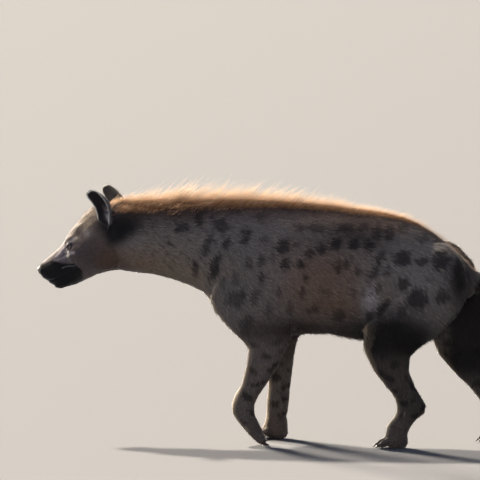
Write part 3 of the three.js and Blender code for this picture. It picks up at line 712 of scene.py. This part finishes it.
balls = bmesh.new()
for side in (-1, 1):
    middle, gaze, level, upward = eye_axes(side)
    ball = bmesh.ops.create_uvsphere(balls, u_segments=48, v_segments=40, radius=1.0)["verts"]
    for v in ball:
        turned = level * v.co.x + upward * v.co.y + gaze * v.co.z
        off = math.acos(max(-1, min(1, v.co.z)))
        bulge = CORNEA * max(0.0, 1 - (off / IRIS_EDGE) ** 2)
        v.co = Vector(middle + turned * (BALL + bulge)) / 1000
bmesh.ops.recalc_face_normals(balls, faces=balls.faces)
eye_mesh = meshed(balls, "eyes")
eye_mesh.shade_smooth()
at, _ = points_of(eye_mesh)
side = np.where(on_head(at)[1] > 0, 1, -1)
off = np.zeros(len(at))
for sign in (-1, 1):
    middle, gaze, _, _ = eye_axes(sign)
    off[side == sign] = np.arccos(np.clip(unit(at[side == sign] - middle) @ gaze, -1, 1))
stain = plain_colour("#2a1a12", len(at))
stain = mix(stain, "#4d2c15", ramp(off, IRIS_EDGE + 0.05, IRIS_EDGE - 0.05))
stain = mix(stain, "#26150b", ramp(off, PUPIL + 0.16, PUPIL + 0.02))
stain = mix(stain, "#040303", ramp(off, PUPIL + 0.03, PUPIL - 0.03))
paint(eye_mesh, stain, "Iris")
eye_mesh.materials.append(wet_eye)
eyes = piece_of("eyes", eye_mesh)
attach(eyes, "root")
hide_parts("eye_left", "eye_right")

lid_tones = []
lids = bmesh.new()
hide = BVHTree.FromObject(skin, bpy.context.evaluated_depsgraph_get())
for side in (-1, 1):
    middle, gaze, level, upward = eye_axes(side)
    turns = np.arange(LID_SIDES) * 6.2832 / LID_SIDES
    rows = []
    for reach, over_ball, over_hide, face_share in LID_ROWS:
        # the almond is pinched at its corners and opens out to a round ring
        tall = np.where(np.sin(turns) > 0, OPENING[1], OPENING[2])
        u = OPENING[0] * reach * np.cos(turns)
        v = (tall * reach + 3.2 * (reach - 0.9)) * np.sin(turns) * (1 - 0.22 * np.cos(turns) ** 2 / reach)
        ball = (BALL + over_ball) ** 2 - u**2 - v**2
        deep = np.where(ball > 0, np.sqrt(np.maximum(ball, 0)), -40)
        ring = middle + u[:, None] * level + v[:, None] * upward
        for k in range(LID_SIDES):
            hit = hide.ray_cast(Vector(ring[k] + gaze * 40) / 1000, Vector(-gaze))[0]
            if hit is not None:
                deep[k] = max(deep[k], (np.array(hit) * 1000 - ring[k]) @ gaze + over_hide)
        # hollows along the ring are filled, so that it doesn't crumple in the corner by the nose
        even = deep
        for _ in range(3):
            even = (np.roll(even, 1) + 2 * even + np.roll(even, -1)) / 4
        ring += np.maximum(deep, even)[:, None] * gaze
        rows.append([lids.verts.new(Vector(p) / 1000) for p in ring])
        lid_tones.append(np.full(LID_SIDES, face_share))
    for low, high in zip(rows, rows[1:]):
        for k in range(LID_SIDES):
            lids.faces.new((low[k], low[(k + 1) % LID_SIDES], high[(k + 1) % LID_SIDES], high[k]))
bmesh.ops.recalc_face_normals(lids, faces=lids.faces)
lid_mesh = meshed(lids, "eyelids")
lid_mesh.shade_smooth()
at, out = points_of(lid_mesh)
share = np.concatenate(lid_tones)[:, None]
# the ring's faces look away from the ball
outward = np.sign(((at - HEAD_JOINT) @ ACROSS) * (out @ ACROSS)).sum()
if outward < 0:
    lid_mesh.flip_normals()
dark = plain_colour("#171213", len(at))
paint(lid_mesh, dark * (1 - share) + markings(at, out, np.zeros(len(at))) * share)
lid_skin = hair_material("dark_lid_skin", 900.0, 0.2, 0.45, 0.0004)
lid_mesh.materials.append(lid_skin)
eyelids = piece_of("eyelids", lid_mesh)
thick = eyelids.modifiers.new("thick", "SOLIDIFY")
thick.thickness = 0.0012
thick.offset = -1.0
eyelids = finished(eyelids)
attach(eyelids, "root")

# Nose
# A broad pebbled pad of black leather, with two nostrils that open to the sides and a furrow down
# the middle, always a little wet.

nose_work = bmesh.new()
nose_work.from_mesh(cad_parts["nose"].data)
bmesh.ops.remove_doubles(nose_work, verts=nose_work.verts, dist=1e-6)
nose_pad = piece_of("nose_pad", meshed(nose_work, "nose_pad"))
fuse = nose_pad.modifiers.new("fuse", "REMESH")
fuse.mode = "VOXEL"
fuse.voxel_size = 0.0008
even = nose_pad.modifiers.new("even", "SMOOTH")
even.iterations = 14
nose_pad = finished(nose_pad)
at, out = points_of(nose_pad.data)
along, across, up = on_head(at)
furrow = 1.8 * np.exp(-((across / 1.6) ** 2)) * ramp(up, 16, 8)
wing = 1.6 * np.exp(-(((np.abs(across) - 16) / 6) ** 2) - ((up - 4) / 8) ** 2)
flat = np.maximum(along - 246, 0) * 0.45
set_points(nose_pad.data, at + out * (wing - furrow)[:, None] - ALONG * flat[:, None])
nose_pad.data.shade_smooth()
leather, shader = new_material("wet_nose_leather")
place = node(leather, "ShaderNodeTexCoord")
pebbles = node(leather, "ShaderNodeTexVoronoi", {"Vector": place.outputs["Object"]}, Scale=620.0)
tone = node(leather, "ShaderNodeTexNoise", {"Vector": place.outputs["Object"]}, Scale=90.0, Detail=4.0)
black = node(leather, "ShaderNodeMapRange", {"Value": tone.outputs["Fac"]}, To_Min=0.008, To_Max=0.03)
relief = node(leather, "ShaderNodeBump", {"Height": pebbles.outputs["Distance"]},
              Distance=0.0005, Strength=0.8)
leather.node_tree.links.new(black.outputs["Result"], shader.inputs["Base Color"])
leather.node_tree.links.new(relief.outputs["Normal"], shader.inputs["Normal"])
shader.inputs["Roughness"].default_value = 0.45
shader.inputs["Specular IOR Level"].default_value = 0.3
shader.inputs["Coat Weight"].default_value = 0.15
shader.inputs["Coat Roughness"].default_value = 0.2
nose_pad.data.materials.append(leather)
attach(nose_pad, "root")
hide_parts("nose")

# Claws
# Blunt dark horn that never draws in, one curved cone at the end of each of the sixteen toes.

CLAW_LENGTH, CLAW_RADIUS = 17.0, 4.0
TOE_RADIUS, OUTER_TOE_BACK = 13.5, 12.0
CLAW_SIDES = 12
CLAW_NARROW = 0.8  # width of a claw as a share of its height
CLAW_LOWEST = 0.0003  # m above the floor
# share of the length, of the knuckles' height and of the radius at each ring of a claw
CLAW_STOPS = [(-0.25, 0.30, 1.0), (0.1, 0.31, 0.98), (0.4, 0.27, 0.86), (0.7, 0.19, 0.6),
              (0.92, 0.11, 0.34), (1.02, 0.07, 0.1)]
SIDEWAYS = Vector((0, 1, 0))
LIFTED_SLOPE = math.radians(61)


def flat_foot(rear, across):
    return lambda forward, out, up: (rear + SHIFT - forward, across + out, up)


def lifted_foot(forward, out, up):
    """The left forepaw hangs from its bent wrist with its toe tips on the floor."""
    x = -99 + math.cos(LIFTED_SLOPE) * (forward - 14) - math.sin(LIFTED_SLOPE) * (up - 22)
    z = 116 - math.sin(LIFTED_SLOPE) * (forward - 14) - math.cos(LIFTED_SLOPE) * (up - 22)
    return x + SHIFT, -94 + out, z


def claw_hoop(spine, number, slim):
    """One ring of a claw, square to the line through the rings beside it."""
    before, after = spine[max(number - 1, 0)], spine[min(number + 1, len(spine) - 1)]
    over = (Vector(after) - Vector(before)).cross(SIDEWAYS).normalized()
    radius = CLAW_RADIUS * slim

    def place(across, rise):
        return Vector(spine[number]) + SIDEWAYS * across * radius * CLAW_NARROW + over * rise * radius

    return place


# how each foot is placed, its length, half width and height over the knuckles, in mm
FEET = [
    (flat_foot(26, 94), 112, 41, 52),
    (lifted_foot, 148, 41, 52),
    (flat_foot(444, -98), 106, 37, 48),
    (flat_foot(756, 98), 106, 37, 48),
]
horn_work = bmesh.new()
for place, length, half, high in FEET:
    for toe in (-1.5, -0.5, 0.5, 1.5):
        across = toe / 1.5 * (half - TOE_RADIUS + 1) * 1.14
        start = (length - OUTER_TOE_BACK * (abs(toe) > 1)) * 0.93
        spine = [place(start + CLAW_LENGTH * share, across, high * rise) for share, rise, _ in CLAW_STOPS]
        hoops = [claw_hoop(spine, number, slim) for number, (_, _, slim) in enumerate(CLAW_STOPS)]
        add_sleeve(horn_work, CLAW_SIDES, hoops)
bmesh.ops.recalc_face_normals(horn_work, faces=horn_work.faces)
for v in horn_work.verts:
    v.co.z = max(v.co.z, CLAW_LOWEST)
horn_mesh = meshed(horn_work, "claws")
horn_mesh.shade_smooth()
horn, shader = new_material("worn_dark_horn")
place = node(horn, "ShaderNodeTexCoord")
grain = node(horn, "ShaderNodeTexNoise", {"Vector": place.outputs["Object"]}, Scale=260.0, Detail=5.0)
tone = node(horn, "ShaderNodeValToRGB", {"Fac": grain.outputs["Fac"]})
tone.color_ramp.elements[0].color = linear("#1c1613")
tone.color_ramp.elements[1].color = linear("#5b4a3c")
scratches = node(horn, "ShaderNodeBump", {"Height": grain.outputs["Fac"]}, Distance=0.0004)
horn.node_tree.links.new(tone.outputs["Color"], shader.inputs["Base Color"])
horn.node_tree.links.new(scratches.outputs["Normal"], shader.inputs["Normal"])
shader.inputs["Roughness"].default_value = 0.42
horn_mesh.materials.append(horn)
claws = piece_of("claws", horn_mesh)
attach(claws, "root")

# Short coat
# Coarse hair a few centimetres long, each tuft a thin bent blade rooted in the hide, lying back
# and down along the body, down the legs, and from the nose back over the face.


def spread(mesh, spacing, wanted, seed):
    """Evenly strewn places on the hide, in mm, with the way each faces."""
    dice = np.random.default_rng(seed)
    mesh.calc_loop_triangles()
    corners = np.empty(len(mesh.loop_triangles) * 3, np.int32)
    mesh.loop_triangles.foreach_get("vertices", corners)
    corners = corners.reshape(-1, 3)
    at, out = points_of(mesh)
    middle = at[corners].mean(axis=1)
    corners = corners[wanted(middle)]
    a, b, c = (at[corners[:, k]] for k in range(3))
    area = np.linalg.norm(np.cross(b - a, c - a), axis=1) / 2
    many = int(area.sum() / spacing**2 * 2.6)
    pick = np.searchsorted(np.cumsum(area), (np.arange(many) + dice.random(many)) / many * area.sum())
    pick = np.minimum(pick, len(area) - 1)
    s, t = dice.random(many), dice.random(many)
    over = s + t > 1
    s[over], t[over] = 1 - s[over], 1 - t[over]
    share = np.stack((1 - s - t, s, t), axis=1)[:, :, None]
    places = (at[corners[pick]] * share).sum(axis=1)
    facing = (out[corners[pick]] * share).sum(axis=1)
    order = dice.permutation(many)
    cell = np.floor(places[order] / (spacing * 1.12) + 0.37).astype(np.int64)
    _, first = np.unique(cell[:, 0] * 4000003 + cell[:, 1] * 2003 + cell[:, 2], return_index=True)
    keep = np.sort(order[first])
    return places[keep], unit(facing[keep])


def lie(at, out, ears):
    """The way the hair lies at each place, along the surface."""
    x, y, z = at.T
    along, across, up = on_head(at)
    fall = 14 + 22 * ramp(z, 760, 500) + 16 * ramp(x, 60, -120) * ramp(x, -330, -200) * ramp(z, 700, 560)
    fall += 12 * ramp(x, 330, 430) * ramp(z, 700, 560)
    fall += (78 - fall) * ramp(z, 440, 330)
    fall = np.radians(fall + 10 * ripple(at, 90, 11) + 6 * ripple(at, 34, 12))
    way = np.stack((np.cos(fall), 0.1 * np.sign(y) * np.sin(fall), -np.sin(fall)), axis=1)
    toes = ramp(z, 70, 42) * (x > -40)
    way = way * (1 - toes)[:, None] + np.array((-1.0, 0, -0.25)) * toes[:, None]
    face = ramp(along, -110, -20)[:, None]
    cheek = (np.clip(-up, 0, 60) / 60 * 0.35)[:, None]
    over_face = -ALONG - UP * cheek + ACROSS * (0.35 * np.sign(across) * ramp(along, 150, 40))[:, None]
    way = way * (1 - face) + unit(over_face) * face
    up_ear = unit(UP * 0.9 - ALONG * 0.25 + ACROSS * (0.45 * np.sign(across))[:, None])
    way = way * (1 - ears)[:, None] + up_ear * ears[:, None]
    tail = ramp(x, 640, 670) * ramp(z, 620, 580) * ramp(np.abs(y), 45, 30)
    way = way * (1 - tail)[:, None] + np.array((0.15, 0, -1.0)) * tail[:, None]
    return along_surface(way, out)


def unwrapped(share, right, upward, column=0, columns=1):
    """A place on the unwrap of a round form, from the share of its length and its turn."""
    turn = np.arctan2(right, upward) / 6.2832 + 0.5
    return np.stack(((column + 0.03 + 0.94 * turn) / columns, 0.02 + 0.96 * np.clip(share, 0, 1)), axis=1)


PATCH = 0.003  # of the map's width, that each tuft takes
ROOT_SUNK = 0.07  # of a tuft's length, that starts under the hide
BLADE_SLIM = (1.0, 0.8, 0.5)  # width of a blade at each ring, before its tip
BLADE_RIDGE = 0.55  # height of a blade's ridge, of its half width
LOWEST = 0.4  # mm above the floor


def tufts(name, root, out, way, length, width, lift, curl, shades, places, rings, hair=guard_hair):
    """One piece of many thin blades. Each starts under the hide and bends over along its way."""
    count = len(root)
    side = unit(np.cross(out, way))
    steps = np.linspace(0, 1, rings + 1)
    points, facing, tones, flat = [], [], [], []
    spot = root - out * (length * ROOT_SUNK)[:, None]
    for ring in range(rings + 1):
        angle = lift + curl * (0.5 - steps[ring])
        axis = way * np.cos(angle)[:, None] + out * np.sin(angle)[:, None]
        if ring:
            spot = spot + axis * (length * (steps[ring] - steps[ring - 1]))[:, None]
        tone = shades(steps[ring])
        if ring == rings:
            points.append(spot)
            facing.append(out)
            tones.append(tone)
            flat.append((0.0, 0.5))
            break
        ridge = np.cross(axis, side)
        size = (width * BLADE_SLIM[ring])[:, None]
        for across, rise in ((1.0, 0.0), (0.0, BLADE_RIDGE), (-1.0, 0.0)):
            points.append(spot + (side * across + ridge * rise) * size)
            facing.append(out + side * across * 0.5)
            tones.append(tone)
            flat.append((across * 0.45, steps[ring] - 0.5))
    per = 3 * rings + 1
    points = np.stack(points, axis=1).reshape(-1, 3)
    points[:, 2] = np.maximum(points[:, 2], LOWEST)
    tones = np.stack(tones, axis=1).reshape(-1, 3)
    flat = np.array(flat) * PATCH
    maps = (places[:, None, :] + flat[None]).reshape(-1, 2)
    sheet = [(2, 1, 0)]
    for ring in range(rings - 1):
        low, high = 3 * ring, 3 * ring + 3
        sheet += [(low, low + 1, high + 1, high), (low + 1, low + 2, high + 2, high + 1),
                  (low + 2, low, high, high + 2)]
    low = 3 * rings - 3
    sheet += [(low, low + 1, per - 1), (low + 1, low + 2, per - 1), (low + 2, low, per - 1)]
    corners = np.array([corner for face in sheet for corner in face])
    starts = np.cumsum([0] + [len(face) for face in sheet])
    corners = (corners[None] + per * np.arange(count)[:, None]).ravel()
    begins = (starts[None, :-1] + starts[-1] * np.arange(count)[:, None]).ravel()
    mesh = bpy.data.meshes.new(name)
    mesh.vertices.add(len(points))
    mesh.vertices.foreach_set("co", (points / 1000).astype(np.float32).ravel())
    mesh.loops.add(len(corners))
    mesh.loops.foreach_set("vertex_index", corners.astype(np.int32))
    mesh.polygons.add(len(begins))
    mesh.polygons.foreach_set("loop_start", begins.astype(np.int32))
    mesh.update(calc_edges=True)
    mesh.shade_smooth()
    mesh.normals_split_custom_set_from_vertices(unit(np.stack(facing, axis=1).reshape(-1, 3)))
    paint(mesh, tones)
    mesh.uv_layers.new(name="OFBake").data.foreach_set("uv", maps[corners].astype(np.float32).ravel())
    mesh.materials.append(hair)
    piece = piece_of(name, mesh)
    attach(piece, "root")
    return piece


def legs_middle(name, z):
    """Where the middle of a leg is at each height, in mm."""
    at, _ = points_of(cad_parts[name].data)
    levels = np.linspace(at[:, 2].min(), at[:, 2].max(), 9)
    inside = [at[np.abs(at[:, 2] - level) < 35] for level in levels]
    return [np.interp(z, levels, [near[:, k].mean() for near in inside]) for k in (0, 1)]


def trunk_map(at):
    middle = np.interp(at[:, 0], SLICES[:, 0], (SLICES[:, 1] + SLICES[:, 2]) / 2)
    share = (at[:, 0] - SLICES[0, 0]) / (SLICES[-1, 0] - SLICES[0, 0] + 60)
    return unwrapped(share, at[:, 1], at[:, 2] - middle)


LEG_MAP_HEIGHT = 345  # mm


def leg_map(end):
    """The unwrap of a pair of legs, the left one beside the right one."""

    def place(at):
        maps = np.zeros((len(at), 2))
        for column, name in enumerate((end + "leg_left", end + "leg_right")):
            mine = (at[:, 1] > 0) == bool(column)
            x, y = legs_middle(name, at[mine, 2])
            share = at[mine, 2] / LEG_MAP_HEIGHT
            maps[mine] = unwrapped(share, at[mine, 0] - x, at[mine, 1] - y, column, 2)
        return maps

    return place


def head_map(at):
    along, across, up = on_head(at)
    return unwrapped((along + 100) / 370, across, up)


def ear_map(at):
    along, across, up = on_head(at)
    inner = ramp(along, -72, -66)
    column = (across > 0) * 1.0
    return np.stack(((column + 0.05 + 0.9 * (np.abs(across) - 40) / 80) / 2,
                     0.02 + 0.47 * np.clip((up - 5) / 145, 0, 1) + 0.49 * (inner > 0.5)), axis=1)


def is_head(at):
    return on_head(at)[0] > -70


def at_eye(at):
    """Where the lids lie, which carry no tufts."""
    near = np.zeros(len(at), bool)
    for side in (-1, 1):
        middle, gaze, level, upward = eye_axes(side)
        off = at - middle
        near |= (np.hypot(off @ level / 19, off @ upward / 13) < 1) & (off @ gaze > -9)
    return near


# where one piece of the coat ends and the next begins, in mm
NECK_END, LOIN, BETWEEN_LEGS, LEG_TOP = -170, 130, 160, 330


def is_leg(at):
    return at[:, 2] < LEG_TOP


def is_ear(at):
    return earness(at) > 0.5


def on_trunk(start, end, right):
    """One side of the trunk, between two places along it."""

    def wanted(at):
        between = (at[:, 0] >= start) & (at[:, 0] < end)
        return ~is_leg(at) & between & ((at[:, 1] >= 0) == right)

    return wanted


# name, what it covers, spacing and width in mm, and its map
COATS = [
    ("coat_head", lambda p: is_head(p) & ~is_ear(p) & ~at_eye(p), 2.85, 1.0, head_map),
    ("coat_ears", is_ear, 2.3, 0.6, ear_map),
    ("coat_neck", lambda p: ~is_head(p) & (p[:, 0] < NECK_END), 4.1, 1.5, trunk_map),
    ("coat_shoulder_left", on_trunk(NECK_END, LOIN, False), 4.1, 1.5, trunk_map),
    ("coat_shoulder_right", on_trunk(NECK_END, LOIN, True), 4.3, 1.55, trunk_map),
    ("coat_rump_left", on_trunk(LOIN, math.inf, False), 4.3, 1.55, trunk_map),
    ("coat_rump_right", on_trunk(LOIN, math.inf, True), 4.5, 1.6, trunk_map),
    ("coat_forelegs", lambda p: is_leg(p) & (p[:, 0] < BETWEEN_LEGS), 3.5, 1.2, leg_map("fore")),
    ("coat_hindlegs", lambda p: is_leg(p) & (p[:, 0] >= BETWEEN_LEGS), 3.5, 1.2, leg_map("hind")),
]
SHADE_DEPTH = 0.75  # how much lighter the tips of long hair are than the roots

for number, (name, wanted, spacing, width, place) in enumerate(COATS):
    root, out = spread(skin.data, spacing, wanted, 100 + number)
    dice = np.random.default_rng(200 + number)
    ears = earness(root)
    count = len(root)
    way = lie(root, out, ears)
    length = coat_length(root, ears) * dice.uniform(0.75, 1.25, count)
    stray = dice.normal(0, 0.16, count)
    way = unit(way + np.cross(out, way) * stray[:, None])
    lift = np.radians(15 - 2 * headness(root) + 6 * ripple(root, 22, 31) + dice.normal(0, 4, count))
    curl = np.radians(dice.uniform(10, 34, count))
    colour = markings(root + way * (length * 0.5)[:, None], out, ears)
    colour *= np.exp(dice.normal(0, 0.14, count) + 0.10 * ripple(root, 14, 32))[:, None]
    depth = SHADE_DEPTH * ramp(length, 3, 20)
    pale = (dice.random(count) < 0.05) * ramp(colour.mean(axis=1), 0.05, 0.14) * (1 - headness(root))
    colour = mix(colour, "#a8947c", 0.45 * pale)
    coat = tufts(name, root, out, way, length, width * dice.uniform(0.75, 1.2, count), lift, curl,
                 lambda share: colour * (1 + depth * (share - 0.55))[:, None], place(root), 2)

# Crest
# Long stiff hair on end along the nape and back, rust at the root and straw at the tip, leaning back
# and shorter towards the loin. It is painted pale down to its roots, partly its own colour and partly a
# painted glow of light shining through it.

# x, height of the tips above the back and half width of the band, in mm
CREST = [
    (-532, 26, 26), (-502, 36, 30), (-466, 49, 32), (-420, 58, 32), (-350, 68, 31), (-270, 70, 30),
    (-180, 64, 28), (-80, 55, 26), (20, 47, 25), (120, 36, 24), (220, 27, 22), (330, 20, 19),
    (440, 16, 15), (530, 11, 11), (585, 8, 9), (612, 5, 8),
]
CREST_LINE = np.array(CREST, float) + (SHIFT, 0, 0)
CREST_DROP = 50  # mm, how far below the back the lowest roots are
CREST_LEAN = math.radians(40.0)  # above the back
LEAN_RANGE = (20, 62)  # degrees
LONGEST = 1.27  # of the usual length, for a stray hair
# the crest's hair is painted pale and bright down to the roots, partly its own straw colour and partly a
# painted glow of light shining through it
CREST_HAIRS = [(0.0, "#e8a774"), (0.3, "#f3c294"), (0.6, "#e2bd96"), (1.0, "#d8c4a8")]


def crest_at(x, column):
    """The crest's height, column 1, or its half width, column 2, at each x."""
    return np.interp(x, CREST_LINE[:, 0], CREST_LINE[:, column])


def along_hair(stops, share, count):
    """One colour for all hairs at a share of their length."""
    shades = np.array([linear(colour)[:3] for _, colour in stops])
    at = [stop for stop, _ in stops]
    return np.tile([np.interp(share, at, shades[:, k]) for k in range(3)], (count, 1))


def in_crest(at):
    """Where the crest's hairs are rooted: a band along the back with ragged edges."""
    x, y, z = at.T
    ragged = 1.75 * (1 + 0.3 * ripple(at, 20, 67))
    inside = (np.abs(y - trunk_at(x, 4)) < crest_at(x, 2) * ragged) & (trunk_at(x, 1) - z < CREST_DROP)
    return inside & (x > CREST_LINE[0, 0] - 25) & (x < CREST_LINE[-1, 0] + 40)


root, out = spread(skin.data, 3.8, in_crest, 61)
dice = np.random.default_rng(62)
count = len(root)
edge = (root[:, 1] - trunk_at(root[:, 0], 4)) / crest_at(root[:, 0], 2)
outer = ramp(np.abs(edge), 0.7, 1.75)
back = 9 * ripple(root, 30, 63) + dice.normal(0, 6, count) - 9 * ramp(root[:, 0], 100, 500)
lean = np.radians(np.clip(math.degrees(CREST_LEAN) + back - 14 * outer, *LEAN_RANGE))
splay = edge * (0.4 + 0.35 * outer) + 0.2 * ripple(root, 24, 64) + dice.normal(0, 0.12, count)
way = unit(np.stack((np.ones(count), splay, np.zeros(count)), axis=1))
up = along_surface(unit(np.array((0.0, 0.0, 1.0)) + out * outer[:, None]), way)
spiky = dice.uniform(0.42, 0.92, count) + 0.22 * ripple(root, 11, 66) + 0.34 * (dice.random(count) < 0.08)
length = (crest_at(root[:, 0], 1) + 7) / np.sin(CREST_LEAN) * np.minimum(spiky, LONGEST) * (1 - 0.55 * outer)
bright = np.exp(dice.normal(0, 0.14, count) + 0.12 * ripple(root, 18, 65))[:, None]
low = ramp(np.abs(edge), 0.8, 1.6)[:, None]


def crest_shades(share):
    hair = along_hair(CREST_HAIRS, share, count) * bright
    hair = mix(hair, "#6a5445", 0.85 * ramp(root[:, 0], 380, 560))
    return mix(hair, "#a4633f", (low * (0.9 - 0.7 * share))[:, 0])


width = dice.uniform(0.55, 1.05, count)
curl = np.radians(dice.uniform(4, 26, count))
crest = tufts("crest", root, up, way, length, width, lean, curl, crest_shades, trunk_map(root), 3,
              crest_hair)

# Tail tuft
# Coarse black-brown hair, short on the stem and long over its last half, hanging straight down.

STEM_LENGTH, TUFT_LENGTH = 22.0, 95.0  # mm, of the hair on the stem and in the tuft
TAIL_HAIRS = [(0.0, "#1c1716"), (0.6, "#2a211e"), (1.0, "#4a3a30")]


def on_tail(at):
    return (at[:, 0] > 668) & (np.abs(at[:, 1]) < 45) & (at[:, 2] > 300) & (at[:, 2] < 590)


root, out = spread(skin.data, 2.4, on_tail, 71)
dice = np.random.default_rng(72)
count = len(root)
hang = np.array((0.12, 0.0, -1.0))
way = unit(np.tile(hang, (count, 1)) + 0.25 * out + dice.normal(0, 0.09, (count, 3)))
face = along_surface(out, way)
longer = ramp(root[:, 2], 520, 400)
length = (STEM_LENGTH + (TUFT_LENGTH - STEM_LENGTH) * longer) * dice.uniform(0.7, 1.1, count)
stem = np.interp(root[:, 2], STEM_LINE[::-1, 1], STEM_LINE[::-1, 0])
tail_map = unwrapped((root[:, 2] - 300) / 300, root[:, 1], root[:, 0] - stem)
bright = np.exp(dice.normal(0, 0.2, count))[:, None]
width = dice.uniform(0.9, 1.5, count)
lift = np.radians(dice.uniform(4, 20, count))
curl = np.radians(dice.uniform(10, 40, count))
tail = tufts("tail_tuft", root, face, way, length, width, lift, curl,
             lambda share: along_hair(TAIL_HAIRS, share, count) * bright, tail_map, 3)

# Whiskers
# Stiff black bristles in three rows on each side of the upper lip, sweeping back.

# along and up of the foremost whisker of each row, in mm
WHISKER_ROWS = [(222, -4), (213, -13), (203, -22)]
WHISKER_RADIUS = 0.42  # mm
root, out = [], []
for along_row, up_row in WHISKER_ROWS:
    for step in range(4):
        for side in (-1, 1):
            far = Vector(from_head(along_row - 11 * step, side * 90, up_row - 1.5 * step)) / 1000
            hit, normal, _, _ = hide.ray_cast(far, Vector(-ACROSS * side))
            if hit is not None:
                root.append(np.array(hit) * 1000)
                out.append(np.array(normal))
root, out = np.array(root), np.array(out)
count = len(root)
dice = np.random.default_rng(81)
way = unit(-ALONG * 0.9 - UP * 0.35 + dice.normal(0, 0.12, (count, 3)))
way = along_surface(way, out)
tone = plain_colour("#15110f", count)
length = dice.uniform(32, 55, count)
lift = np.radians(dice.uniform(30, 50, count))
curl = np.radians(dice.uniform(25, 45, count))
whiskers = tufts("whiskers", root, out, way, length, np.full(count, WHISKER_RADIUS), lift, curl,
                 lambda share: tone, head_map(root), 3, bristle)

# Floor, light and camera
# A pale floor, a warm sun from above on the far side, a second warm light along the far edge, a dim
# wide light on the near side, and a long lens a little above the back, level with the shoulder.

FLOOR_COLOUR = "#5e6066"
FLOOR_REACH = 70.0  # m
LENS_DISTANCE = 30.0  # m
FRAME_WIDTH = 1.56  # m, what the picture is wide at the animal
CAMERA_TARGET = Vector((-0.101, 0.0, 0.660))
CAMERA_AZIMUTH = math.radians(8)
CAMERA_ELEVATION = math.radians(6)

ground = bmesh.new()
bmesh.ops.create_grid(ground, x_segments=1, y_segments=1, size=FLOOR_REACH)
floor = piece_of("floor", meshed(ground, "floor"))
painted, shader = new_material("painted_studio_floor")
shader.inputs["Base Color"].default_value = linear(FLOOR_COLOUR)
shader.inputs["Roughness"].default_value = 0.95
floor.data.materials.append(painted)


def aim(holder, place, target):
    holder.location = place
    holder.rotation_euler = (Vector(target) - Vector(place)).to_track_quat("-Z", "Y").to_euler()
    bpy.context.scene.collection.objects.link(holder)


def lamp(name, kind, energy, colour, place, target, **settings):
    """One light with its settings, looking from its place to the target."""
    light = bpy.data.lights.new(name, kind)
    light.energy = energy
    light.color = linear(colour)[:3]
    for setting, value in settings.items():
        setattr(light, setting, value)
    aim(bpy.data.objects.new(name, light), place, target)


lamp("high_sun", "SUN", 9.5, "#fff0d8", (-2.2, 2.0, 4.4), (0, 0, 0.5), angle=math.radians(4))
lamp("near_side_softbox", "AREA", 30, "#dbe2ff", (-1.6, -4.6, 2.8), (-0.1, 0.0, 0.5), size=3.0)
lamp("eye_light", "SUN", 0.45, "#ffffff", (-0.9, -4.6, 0.7), (-0.65, -0.05, 0.65), angle=math.radians(9))
lamp("far_side_rim", "SUN", 11.0, "#fff2e0", (-3.3, 3.6, 1.6), (0, 0, 0.5), angle=math.radians(14))

world = bpy.data.worlds.new("studio")
world.use_nodes = True
world.node_tree.nodes["Background"].inputs["Color"].default_value = linear("#c9d3ea")
world.node_tree.nodes["Background"].inputs["Strength"].default_value = 0.36
bpy.context.scene.world = world
bpy.context.scene.view_settings.view_transform = "Standard"

lens = bpy.data.cameras.new("long_lens")
lens.lens = lens.sensor_width * LENS_DISTANCE / FRAME_WIDTH
lens.clip_end = 200
camera = bpy.data.objects.new("camera", lens)
sight = Vector((
    -math.sin(CAMERA_AZIMUTH) * math.cos(CAMERA_ELEVATION),
    math.cos(CAMERA_AZIMUTH) * math.cos(CAMERA_ELEVATION),
    -math.sin(CAMERA_ELEVATION),
))
aim(camera, CAMERA_TARGET - sight * LENS_DISTANCE, CAMERA_TARGET)
bpy.context.scene.camera = camera
